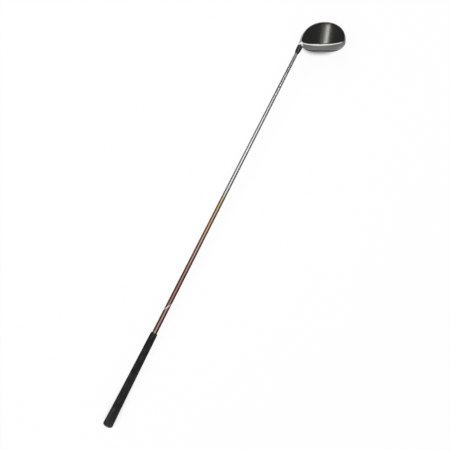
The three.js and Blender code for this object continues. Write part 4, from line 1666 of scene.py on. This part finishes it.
@dataclass
class SoleHardware(SharedSizes):
    """The tail weight with its screw, and the threaded swing weight behind the face."""

    places: ClubPlaces
    recess: float = 0.4
    tail_radius: float = 6.8
    tail_length: float = 11.0
    screw_head_radius: float = 3.4
    screw_head_length: float = 3.0
    screw_shank_radius: float = 2.0
    screw_thread_length: float = 7.0
    thread_pitch: float = 0.8
    weight_radius: float = 6.0
    weight_height: float = 5.0

    def tail_weight(self) -> bpy.types.Object:
        """The slug in the tail with its stepped hole."""
        low, high = -self.tail_length, -self.recess
        inner = self.screw_shank_radius + self.gap
        wide = self.screw_head_radius + self.gap
        seat = high - self.screw_head_length - self.gap
        profile = [
            (inner, low), (self.tail_radius, low), (self.tail_radius, high), (wide, high), (wide, seat),
            (inner, seat), (inner, low),
        ]
        return turned("tail_weight", rounded(profile, 0.35), self.places.tail, 96)

    def tail_screw(self) -> bpy.types.Object:
        """The screw with its thread and its socket for a driver bit."""
        top = -self.recess - self.gap
        under = top - self.screw_head_length + self.gap
        end = -self.tail_length - self.screw_thread_length + self.gap
        shank = self.screw_shank_radius
        profile: list[tuple[float, float]] = [(0.0, end), (shank * 0.75, end)]
        height = end + 0.4
        while height + self.thread_pitch < under - 1.0:
            profile += [(shank * 0.86, height), (shank, height + self.thread_pitch / 2)]
            height += self.thread_pitch
        profile += [(shank * 0.9, height), (shank * 0.9, under), (self.screw_head_radius, under)]
        profile += [(self.screw_head_radius, top - 0.5), (self.screw_head_radius - 0.45, top), (0.0, top)]
        body = turned("tail_screw", profile, self.places.tail, 64)
        depth = self.screw_head_length * self.socket_depth_share
        corners = self.screw_head_radius * self.socket_share
        return socketed(body, corners, top - depth, top + self.bit_overrun, self.places.tail)

    def swing_weight(self) -> bpy.types.Object:
        """The threaded slug in the sole with its socket."""
        low, high = self.recess, self.recess + self.weight_height
        wide, root = self.weight_radius, self.weight_radius - 0.35
        profile: list[tuple[float, float]] = [(0.0, low), (wide - 0.5, low), (wide, low + 0.5)]
        height = low + 1.2
        while height + self.thread_pitch < high - 0.3:
            profile += [(root, height), (wide, height + self.thread_pitch / 2)]
            height += self.thread_pitch
        profile += [(root, high), (0.0, high)]
        body = turned("swing_weight", profile, self.places.weight, 96)
        depth = self.weight_height * self.socket_depth_share
        corners = self.weight_radius * self.socket_share
        return socketed(body, corners, low - self.bit_overrun, low + depth, self.places.weight)

    def build(self) -> list[bpy.types.Object]:
        """Builds and dresses the weights and the screw.

        Returns:
            The pieces.
        """
        tail, weight = self.places.tail, self.places.weight
        steel = TurnedMetal("weight_steel", shade(168, 168, 170), 0.28).make(tail)
        front = TurnedMetal("swing_weight_steel", shade(160, 160, 162), 0.3).make(weight)
        oxide = TurnedMetal("black_oxide", shade(48, 47, 46), 0.38, 0.9, dirt=0.5).make(tail)
        return [
            settle(self.tail_weight(), "rear_weight", "rear_weight", steel),
            settle(self.tail_screw(), "weight_screw", "weight_screw", oxide),
            settle(self.swing_weight(), "front_weight", "front_weight", front),
        ]


# ---------------------------------------------------------------------------------------------- hosel parts


@dataclass
class SleeveParts(SharedSizes):
    """What joins the shaft to the head: splined sleeve, ferrule, and the bolt with washer and retainer."""

    places: ClubPlaces
    nodes: dict
    glue: float = 0.15
    collar_bottom: float = 62.25
    collar_top: float = 71.25
    collar_radius: float = 6.75
    collar_flare: float = 0.5
    collar_lip: float = 0.2
    thread_length: float = 11.0
    shaft_tip: float = 40.45
    tip_radius: float = 4.25
    spline_share: float = 0.42
    spline_turn: float = 0.42
    ferrule_bottom: float = 71.5
    ferrule_top: float = 83.5
    ferrule_wall: float = 0.5
    bolt_head_radius: float = 3.8
    bolt_head_length: float = 5.0
    bolt_head_top: float = 20.7
    thread_pitch: float = 0.9

    def sleeve(self, material: bpy.types.Material) -> bpy.types.Object:
        """The sleeve, with a ring of splines made by rule.

        Args:
            material: its finish.

        Returns:
            The sleeve.
        """
        bore = self.tip_radius + self.glue
        root = self.sleeve_radius - self.spline_height
        shoulder = self.sleeve_bottom + self.spline_length
        hole = self.shank_radius + self.gap
        low, seat, collar = self.sleeve_bottom, self.shaft_tip - self.gap, self.collar_radius
        profile = [
            (hole, low), (root, low), (root, shoulder), (self.sleeve_radius, shoulder),
            (self.sleeve_radius, self.collar_bottom), (collar + self.collar_flare, self.collar_bottom),
            (collar + self.collar_lip, self.collar_top), (bore, self.collar_top), (bore, seat),
            (hole, seat), (hole, low),
        ]
        body = turned("sleeve", rounded(profile, 0.3), self.places.axis, 96)
        body.data.materials.append(material)
        join([body, self._teeth(material)])
        return body

    def _teeth(self, material: bpy.types.Material) -> bpy.types.Object:
        """The splines as one body each, set round the axis by a node tree.

        Args:
            material: their finish.

        Returns:
            The splines.
        """
        rule = GeometryRule("spline_ring")
        count = rule.count("Spline count", self.spline_count)
        radius = rule.size("Outer radius", self.sleeve_radius)
        height = rule.size("Spline height", self.spline_height)
        length = rule.size("Spline length", self.spline_length)
        bottom = rule.size("Sleeve bottom", self.sleeve_bottom)
        width = radius * (2 * math.pi) / count * self.spline_share
        size = rule.vector(height * 2.0, width, length)
        tooth = rule.node("GeometryNodeMeshCube", sockets={"Size": size})
        seat = rule.vector(radius - height, 0.0, bottom + length * 0.5)
        tooth = rule.node("GeometryNodeTransform", sockets={"Geometry": tooth, "Translation": seat})
        index = rule.value(rule.node("GeometryNodeInputIndex"))
        turn = (index + self.spline_turn) / count * (2 * math.pi)
        ring = rule.copies(count, (0.0, 0.0, 0.0), tooth, turn)
        return rule.result("splines", ring, material, self.places.axis)

    def ferrule(self) -> bpy.types.Object:
        """The tapered collar above the sleeve, with two fine turned rings."""
        bore = self.tip_radius + self.glue
        low, high, wide = self.ferrule_bottom, self.ferrule_top, self.collar_radius
        length = high - low
        profile = [(bore, low), (wide - 0.12, low), (wide, low + 0.25), (wide, low + 0.9)]
        profile += [(wide - 0.18, low + 1.05), (wide - 0.18, low + 1.3), (wide, low + 1.45)]
        for inward, along in ((0.12, 0.3), (0.28, 0.5), (0.5, 0.7), (0.75, 0.88)):
            profile.append((mix(wide, bore, inward), low + length * along))
        profile += [(bore + self.ferrule_wall, high - 0.15), (bore + self.ferrule_wall - 0.15, high)]
        profile += [(bore, high), (bore, low)]
        return turned("ferrule_collar", rounded(profile, 1.2, 4), self.places.axis, 96)

    def bolt(self) -> bpy.types.Object:
        """The bolt that pulls the sleeve down, with its thread and socket."""
        top, low = self.bolt_head_top, self.bolt_head_top - self.bolt_head_length
        end = self.sleeve_bottom + self.thread_length - self.gap
        radius, shank = self.bolt_head_radius, self.shank_radius
        profile: list[tuple[float, float]] = [(0.0, low), (radius - 0.5, low), (radius, low + 0.5)]
        profile += [(radius, top), (shank * 0.92, top), (shank * 0.92, self.sleeve_bottom)]
        height = self.sleeve_bottom + 0.2
        while height + self.thread_pitch < end - 0.4:
            profile += [(shank, height + self.thread_pitch / 2), (shank * 0.86, height + self.thread_pitch)]
            height += self.thread_pitch
        profile += [(shank * 0.7, end), (0.0, end)]
        body = turned("bolt", profile, self.places.axis, 64)
        corners, depth = radius * self.socket_share, self.bolt_head_length * self.socket_depth_share
        return socketed(body, corners, low - self.bit_overrun, low + depth, self.places.axis)

    def build(self) -> list[bpy.types.Object]:
        """Builds and dresses the pieces, and dresses the small solids that stay hidden in the hosel.

        Returns:
            The pieces.
        """
        axis = self.places.axis
        anodised = TurnedMetal("black_anodised", shade(76, 76, 78), 0.2, 0.6, ring_pitch=0.3).make(axis)
        plastic = MouldedPlastic("ferrule_black", shade(20, 20, 22), 0.12, 1.0).make()
        steel = TurnedMetal("bolt_oxide", shade(50, 49, 48), 0.36, 0.9, dirt=0.5).make(axis)
        pieces = [
            settle(self.sleeve(anodised), "loft_sleeve", "shaft_assembly", anodised),
            settle(self.ferrule(), "ferrule", "shaft_assembly", plastic),
            settle(self.bolt(), "sleeve_bolt", "sleeve_bolt", steel),
        ]
        dress(self.nodes["bolt_washer"], TurnedMetal("washer_steel", shade(176, 175, 172), 0.32).make(axis))
        rubber = MouldedPlastic("retainer_rubber", shade(30, 30, 30), 0.6, 0.0).make()
        dress(self.nodes["bolt_retainer"], rubber)
        return pieces


def join(bodies: Sequence[bpy.types.Object]) -> None:
    """Joins the meshes of several bodies into the first.

    Args:
        bodies: the bodies.
    """
    edit = bmesh.new()
    for body in bodies:
        edit.from_mesh(body.data)
    edit.to_mesh(bodies[0].data)
    edit.free()
    bodies[0].data.update()
    discard(bodies[1:])


def dress(node: bpy.types.Object, finish: bpy.types.Material) -> None:
    """Gives a solid of the frame a finish, and leaves its mesh as it is.

    Args:
        node: the solid.
        finish: its material.
    """
    for slot in node.material_slots:
        slot.material = finish
    if not node.material_slots:
        node.data.materials.append(finish)
    LOG.info("%s: kept from the frame and dressed", node.name)


# ---------------------------------------------------------------------------------------------- shaft


@dataclass
class ShaftTube:
    """The tapered composite tube, with its tip weight and cork inside."""

    places: ClubPlaces
    nodes: dict
    tip: float = 40.45
    tip_straight: float = 75.0
    butt: float = 1155.75
    tip_radius: float = 4.25
    butt_radius: float = 7.6
    sides: int = 64
    stations: int = 90

    def tube(self, material: bpy.types.Material) -> bpy.types.Object:
        """The tube, swept along the axis by a node tree with a radius that grows from the tip to the butt.

        Args:
            material: its finish.

        Returns:
            The tube.
        """
        rule = GeometryRule("tapered_tube")
        tip = rule.size("Tip height", self.tip)
        butt = rule.size("Butt height", self.butt)
        straight = rule.size("Straight tip", self.tip_straight)
        thin = rule.size("Tip radius", self.tip_radius)
        thick = rule.size("Butt radius", self.butt_radius)
        sides = rule.count("Sides", self.sides)
        stations = rule.count("Stations", self.stations)
        ends = {"Start": rule.vector(0.0, 0.0, tip), "End": rule.vector(0.0, 0.0, butt)}
        line = rule.node("GeometryNodeCurvePrimitiveLine", sockets=ends)
        points = rule.node("GeometryNodeResampleCurve", {"mode": "COUNT"}, {"Curve": line, "Count": stations})
        where = rule.node("GeometryNodeInputPosition")
        height = rule.value(rule.node("ShaderNodeSeparateXYZ", sockets={0: where}), "Z")
        radius = height.ranged({"clamp": True}, tip + straight, butt, thin, thick)
        circle = rule.node(
            "GeometryNodeCurvePrimitiveCircle", {"mode": "RADIUS"}, {"Resolution": sides, "Radius": 1.0},
        )
        sweep = {"Curve": points, "Profile Curve": circle, "Scale": radius, "Fill Caps": True}
        swept = rule.node("GeometryNodeCurveToMesh", sockets=sweep)
        body = rule.result("shaft_tube", swept, material, self.places.axis)
        face_outwards(body)
        return body

    def build(self) -> list[bpy.types.Object]:
        """Builds and dresses the tube and dresses what sits in its tip.

        Returns:
            The tube alone in a list.
        """
        axis = self.places.axis
        lacquer = ShaftLacquer().make(axis)
        piece = settle(self.tube(lacquer), "shaft", "shaft_assembly", lacquer)
        dress(self.nodes["tip_weight"], TurnedMetal("tip_brass", shade(196, 164, 92), 0.3).make(axis))
        dress(self.nodes["shaft_cork"], CorkGrain().make())
        return [piece]


# ---------------------------------------------------------------------------------------------- grip


@dataclass
class HandGrip:
    """The rubber grip with its moulded pads, and the cap with its vent."""

    places: ClubPlaces
    nodes: dict
    mouth: float = 887.0
    top: float = 1155.75
    mouth_radius: float = 9.4
    hand_radius: float = 12.0
    butt_radius: float = 13.45
    hand_share: float = 0.2
    bore_mouth: float = 7.35
    bore_top: float = 8.2
    cap_bottom: float = 1156.0
    cap_top: float = 1162.0
    cap_radius: float = 13.6
    cap_edge: float = 2.0
    vent_radius: float = 1.4
    pad_rows: int = 46
    pads_round: int = 14
    pad_pitch: float = 5.2
    pad_start: float = 14.0
    pad_corners: int = 10
    pad_top: float = 1.1
    pad_foot: float = 1.5
    pad_height: float = 0.7
    pad_sunk: float = 0.38
    pad_stretch: tuple[float, float, float] = (1.25, 0.85, 1.0)

    def radius(self, height: float) -> float:
        """Outer radius at a height along the axis.

        Args:
            height: the height.

        Returns:
            The radius.
        """
        hand = mix(self.top, self.mouth, self.hand_share)
        if height < hand:
            return mix(self.mouth_radius, self.hand_radius, (height - self.mouth) / (hand - self.mouth))
        return mix(self.hand_radius, self.butt_radius, (height - hand) / (self.top - hand))

    def sleeve(self, material: bpy.types.Material) -> bpy.types.Object:
        """The rubber tube with a rolled mouth, plus the ring of pads that its mould gives it.

        Args:
            material: its finish.

        Returns:
            The sleeve.
        """
        mouth, top = self.mouth, self.top
        lip, start, steps = self.mouth_radius, mouth + 5.3, 60
        profile = [
            (self.bore_mouth, mouth), (lip - 0.7, mouth), (lip - 0.15, mouth + 0.5), (lip, mouth + 1.4),
            (lip, mouth + 3.2), (lip - 0.35, mouth + 3.9), (lip - 0.35, mouth + 4.6), (lip + 0.05, start),
        ]
        for index in range(1, steps + 1):
            height = mix(start, top, index / steps)
            profile.append((self.radius(height), height))
        profile += [(self.bore_top, top), (self.bore_mouth, mouth)]
        body = turned("grip_sleeve", profile, self.places.axis, 96)
        body.data.materials.append(material)
        join([body, self._pads(material)])
        return body

    def _pads(self, material: bpy.types.Material) -> bpy.types.Object:
        """Low oval pads in staggered rows, set round the grip by a node tree.

        Args:
            material: their finish.

        Returns:
            The pads.
        """
        rule = GeometryRule("grip_pads")
        rows = rule.count("Rows", self.pad_rows)
        around = rule.count("Pads round", self.pads_round)
        pitch = rule.size("Row pitch", self.pad_pitch)
        low = rule.size("First row", self.mouth + self.pad_start)
        mouth = rule.size("Mouth height", self.mouth)
        hand = rule.size("Hand height", mix(self.top, self.mouth, self.hand_share))
        thin = rule.size("Mouth radius", self.mouth_radius)
        thick = rule.size("Hand radius", self.hand_radius)
        butt = rule.size("Butt radius", self.butt_radius)
        top = rule.size("Top height", self.top)
        index = rule.value(rule.node("GeometryNodeInputIndex"))
        row = ((index + 0.5) / around).maths("FLOOR")
        stagger = row.maths("MODULO", 2.0) * 0.5
        turn = (index - row * around + stagger) / around * (2 * math.pi)
        height = low + row * pitch
        reach = height.ranged({"clamp": False}, mouth, hand, thin, thick)
        reach = reach.maths("MINIMUM", height.ranged({"clamp": False}, hand, top, thick, butt))
        spot = rule.vector(reach * turn.maths("COSINE"), reach * turn.maths("SINE"), height)
        cone = {
            "Vertices": self.pad_corners, "Side Segments": 1, "Fill Segments": 1,
            "Radius Top": self.pad_top, "Radius Bottom": self.pad_foot, "Depth": self.pad_height,
        }
        laid = {
            "Geometry": rule.node("GeometryNodeMeshCone", {"fill_type": "NGON"}, cone),
            "Translation": (-self.pad_sunk, 0.0, 0.0), "Rotation": (0.0, math.pi / 2, 0.0),
            "Scale": self.pad_stretch,
        }
        pad = rule.node("GeometryNodeTransform", sockets=laid)
        ring = rule.copies(rows * around, spot, pad, turn)
        return rule.result("pads", ring, material, self.places.axis)

    def cap(self) -> bpy.types.Object:
        """The cap with its rounded rim, shallow dish and vent."""
        rim, low, high, edge = self.cap_radius, self.cap_bottom, self.cap_top, self.cap_edge
        profile = [
            (self.vent_radius, low), (self.butt_radius, low), (rim, low + edge), (rim, high - edge),
            (rim - edge, high), (rim - edge - 1.2, high), (rim - edge - 2.0, high - 0.5),
            (self.vent_radius + 1.6, high - 0.6), (self.vent_radius + 0.6, high - 0.35),
            (self.vent_radius, high - 0.6), (self.vent_radius, low),
        ]
        return turned("butt_cap", rounded(profile, 1.0, 5), self.places.axis, 96)

    def build(self) -> list[bpy.types.Object]:
        """Builds and dresses the grip and its cap, and dresses the tape under it.

        Returns:
            The pieces.
        """
        rubber = MouldedRubber().make(self.places.axis)
        dress(self.nodes["grip_tape"], PaperTape().make(self.places.axis))
        return [
            settle(self.sleeve(rubber), "grip", "shaft_assembly", rubber, 40.0),
            settle(self.cap(), "grip_cap", "shaft_assembly", rubber, 40.0),
        ]


# ---------------------------------------------------------------------------------------------- studio


@dataclass(frozen=True)
class Lamp:
    """A soft panel lamp."""

    name: str
    place: tuple[float, float, float]
    aim: tuple[float, float, float]
    long: tuple[float, float, float]
    length: float
    width: float
    power: float
    shines: bool = True

    def build(self) -> bpy.types.Object:
        """Makes the lamp, turned so that its length follows a direction."""
        data = bpy.data.lights.new(self.name, "AREA")
        data.shape = "RECTANGLE"
        data.size = self.length
        data.size_y = self.width
        data.energy = self.power
        lamp = placed(self.name, data)
        back = (Vector(self.place) - Vector(self.aim)).normalized()
        across = Vector(self.long)
        across = (across - back * across.dot(back)).normalized()
        side = back.cross(across)
        turn = Matrix((across, side, back)).transposed().to_4x4()
        lamp.matrix_world = Matrix.Translation(Vector(self.place)) @ turn
        lamp.visible_camera = False
        lamp.visible_glossy = self.shines
        return lamp


@dataclass
class Studio:
    """Pale floor with a painted shadow, plain soft light and a camera that looks straight down."""

    places: ClubPlaces
    focal_pixels: float = 610.0
    picture_pixels: float = 450.0
    sensor: float = 36.0
    ground_pixel: tuple[float, float] = (311.7, 23.6)
    butt_pixel: tuple[float, float] = (107.5, 425.4)
    club_length: float = 1162.0
    butt_height: float = 13.5
    daylight: float = 0.5
    floor_half: float = 9.0
    floor_level: float = -0.0003
    floor_white: Colour = (0.95, 0.95, 0.95)
    floor_glow: float = 0.94
    painted_shadow_reach: float = 0.02
    painted_shadow_open: tuple[float, float] = (0.28, 0.9)
    painted_shadow_ramp: tuple[float, float] = (0.2, 0.46)
    painted_shadow_far: float = 0.25
    lowest_camera: float = 500.0
    highest_camera: float = 4000.0
    card_radius: float = 4.0
    cards: tuple[tuple[str, float, float, float], ...] = (
        ("card_heel_side", 0.05, 0.0, 64.0),
        ("card_over_face", 0.3, 80.0, 128.0),
        ("card_toe_side", 0.05, 128.0, 180.0),
    )
    sheets: tuple[tuple[str, float, float, tuple[tuple[float, float], ...]], ...] = (
        ("white_card", 1.0, 0.35, ((-0.5, -0.17), (0.1, -0.1), (0.4, -0.09), (0.4, 0.28), (-0.5, 0.24))),
        # painted_floor_shade: a dark sheet over the floor that only polished surfaces see, painted shade for
        # the floor's shadow in their reflections
        ("painted_floor_shade", 0.07, -0.0001, ((-0.75, -0.45), (0.52, -0.45), (0.52, 0.45), (-0.75, 0.45))),
    )

    def camera(self) -> bpy.types.Object:
        """Sets the camera so that both ends of the club's axis fall on their places in the picture.

        Returns:
            The camera.
        """
        ground = self.places.head.origin / MILLIMETRE
        middle = self.picture_pixels / 2
        tip = Vector((self.ground_pixel[0] - middle, self.ground_pixel[1] - middle)) / self.focal_pixels
        butt = Vector((self.butt_pixel[0] - middle, self.butt_pixel[1] - middle)) / self.focal_pixels
        span = math.sqrt(self.club_length ** 2 - (ground.z - self.butt_height) ** 2)
        low, high = self.lowest_camera, self.highest_camera
        for _ in range(60):
            height = (low + high) / 2
            reach = (tip * (height - ground.z) - butt * (height - self.butt_height)).length
            low, high = (low, height) if reach > span else (height, high)
        spot = tip * (height - ground.z)
        run = (spot - butt * (height - self.butt_height)).normalized()
        right = Vector((run.x, run.y, 0.0))
        up = Vector((-run.y, run.x, 0.0))
        place = Vector((ground.x, ground.y, 0.0)) - right * spot.x + up * spot.y
        place.z = height
        data = bpy.data.cameras.new("camera")
        data.sensor_width = self.sensor
        data.lens = self.focal_pixels / self.picture_pixels * self.sensor
        data.clip_start, data.clip_end = 0.05, 100.0
        camera = placed("camera", data)
        turn = Matrix((right, up, Vector((0.0, 0.0, 1.0)))).transposed().to_4x4()
        camera.matrix_world = Matrix.Translation(place * MILLIMETRE) @ turn
        bpy.context.scene.camera = camera
        LOG.info("camera %.1f mm above the floor", height)
        return camera

    @staticmethod
    def _seen(tree: NodeTree) -> Value:
        """1 for rays that show the background itself: from the camera, off metal or through glass.

        Args:
            tree: tree of a material or of the world.

        Returns:
            1 or 0.
        """
        path = tree.node("ShaderNodeLightPath")
        seen = tree.value(path, "Is Camera Ray").maths("MAXIMUM", tree.value(path, "Is Glossy Ray"))
        return seen.maths("MAXIMUM", tree.value(path, "Is Transmission Ray"))

    def floor(self) -> bpy.types.Object:
        """Makes the pale floor, with a painted shadow: an ambient occlusion term darkens its background
        colour, most of all by the head.
        """
        half, level = self.floor_half, self.floor_level
        corners = [(-half, -half, level), (half, -half, level), (half, half, level), (-half, half, level)]
        tree = ShaderTree("pale_floor")
        matt = tree.node("ShaderNodeBsdfDiffuse", sockets={"Color": self.floor_white})
        sockets = {"Color": WHITE, "Distance": self.painted_shadow_reach}
        open_sky = tree.node("ShaderNodeAmbientOcclusion", {"samples": 16, "only_local": False}, sockets)
        x = tree.value(tree.node("ShaderNodeSeparateXYZ", sockets={0: tree.place()}), "X")
        # Painted shadow: the floor's background colour goes dark where ambient occlusion finds the club close
        # by, at full strength by the head and a quarter as much elsewhere.
        painted_shadow_near = x.rise(*self.painted_shadow_ramp) * (1.0 - self.painted_shadow_far) + self.painted_shadow_far
        shadow = tree.value(open_sky, "AO").fall(*self.painted_shadow_open) * painted_shadow_near
        white = tree.blend(WHITE, NEAR_BLACK, shadow)
        glow = tree.node("ShaderNodeEmission", sockets={"Color": white, "Strength": 1.0})
        share = self._seen(tree) * self.floor_glow
        both = tree.node("ShaderNodeMixShader", sockets={0: share, 1: matt, 2: glow})
        floor = self._flat("floor", corners, [(0, 1, 2, 3)], tree.surface(both))
        return floor

    @staticmethod
    def _flat(name: str, points: list, faces: list, material: bpy.types.Material) -> bpy.types.Object:
        """Makes an object of plain faces.

        Args:
            name: the object's name.
            points: its corners in metres.
            faces: its faces.
            material: its material.

        Returns:
            The object.
        """
        mesh = bpy.data.meshes.new(name)
        mesh.from_pydata(points, [], faces)
        mesh.materials.append(material)
        return placed(name, mesh)

    def _tone(self, name: str, level: float, points: list, faces: list) -> bpy.types.Object:
        """Makes an even surface that only polished surfaces see.

        Args:
            name: the object's name.
            level: how bright it looks, where 1 is white.
            points: its corners in metres.
            faces: its faces.

        Returns:
            The surface.
        """
        tree = ShaderTree(name)
        glow = tree.node("ShaderNodeEmission", sockets={"Color": (level,) * 3, "Strength": 1.0})
        tone = self._flat(name, points, faces, tree.surface(glow))
        for seen in ("camera", "diffuse", "transmission", "volume_scatter", "shadow"):
            setattr(tone, f"visible_{seen}", False)
        return tone

    def tones(self) -> list[bpy.types.Object]:
        """Makes what polished surfaces see: dark cards round the club, a white card over it, and a dark sheet
        over the floor that is painted shade, standing for the floor's shadow in reflections.

        Returns:
            The surfaces.
        """
        steps, made = 24, []
        for name, level, low, high in self.cards:
            points = []
            for step in range(steps + 1):
                angle = math.radians(mix(low, high, step / steps))
                beside, up = math.cos(angle) * self.card_radius, math.sin(angle) * self.card_radius
                points += [(x, beside, up) for x in (-6.0, 6.0)]
            faces = [(2 * k, 2 * k + 1, 2 * k + 3, 2 * k + 2) for k in range(steps)]
            made.append(self._tone(name, level, points, faces))
        for name, level, height, corners in self.sheets:
            made.append(self._tone(name, level, [(x, y, height) for x, y in corners], [range(len(corners))]))
        return made

    def world(self) -> None:
        """Makes the white surroundings, softer as light than as background."""
        world = bpy.data.worlds.new("studio")
        bpy.context.scene.world = world
        world.use_nodes = True
        tree = NodeTree(world.node_tree)
        level = self._seen(tree).maths("MULTIPLY_ADD", 1.0 - self.daylight, self.daylight)
        sky = tree.node("ShaderNodeBackground", sockets={"Color": WHITE, "Strength": level})
        tree.node("ShaderNodeOutputWorld", sockets={"Surface": sky})

    def lamps(self) -> list[bpy.types.Object]:
        """Makes a broad lamp overhead and two strips, for the bright line on the face and its glow.

        Returns:
            The lamps.
        """
        head, beside = (0.56, 0.01, 0.095), (-0.924, -0.381, 0.0)
        rig = [
            Lamp("overhead", (0.0, 1.1, 2.6), (0.0, 0.0, 0.0), (1.0, 0.0, 0.0), 3.6, 1.2, 44.0, False),
            Lamp("face_strip", (0.362, -0.405, 1.6), head, beside, 0.645, 0.075, 1.95),
            Lamp("face_glow", (0.326, -0.32, 1.6), head, beside, 0.645, 0.16, 0.3),
        ]
        return [lamp.build() for lamp in rig]

    def build(self) -> None:
        """Builds the whole studio."""
        self.camera()
        self.floor()
        self.tones()
        self.world()
        self.lamps()
        bpy.context.scene.view_settings.view_transform = "Standard"


def main() -> None:
    """Builds the studio and the club, in order."""
    logging.basicConfig(level=logging.INFO, format="%(name)s: %(message)s")
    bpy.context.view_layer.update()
    places = ClubPlaces.from_record(frame["joints"])
    Studio(places).build()
    pieces = DriverHead(places).build()
    pieces += SoleHardware(places).build()
    pieces += SleeveParts(places, frame["nodes"]).build()
    pieces += ShaftTube(places, frame["nodes"]).build()
    pieces += HandGrip(places, frame["nodes"]).build()
    LOG.info("%d pieces made", len(pieces))


if __name__ == "__main__":
    main()
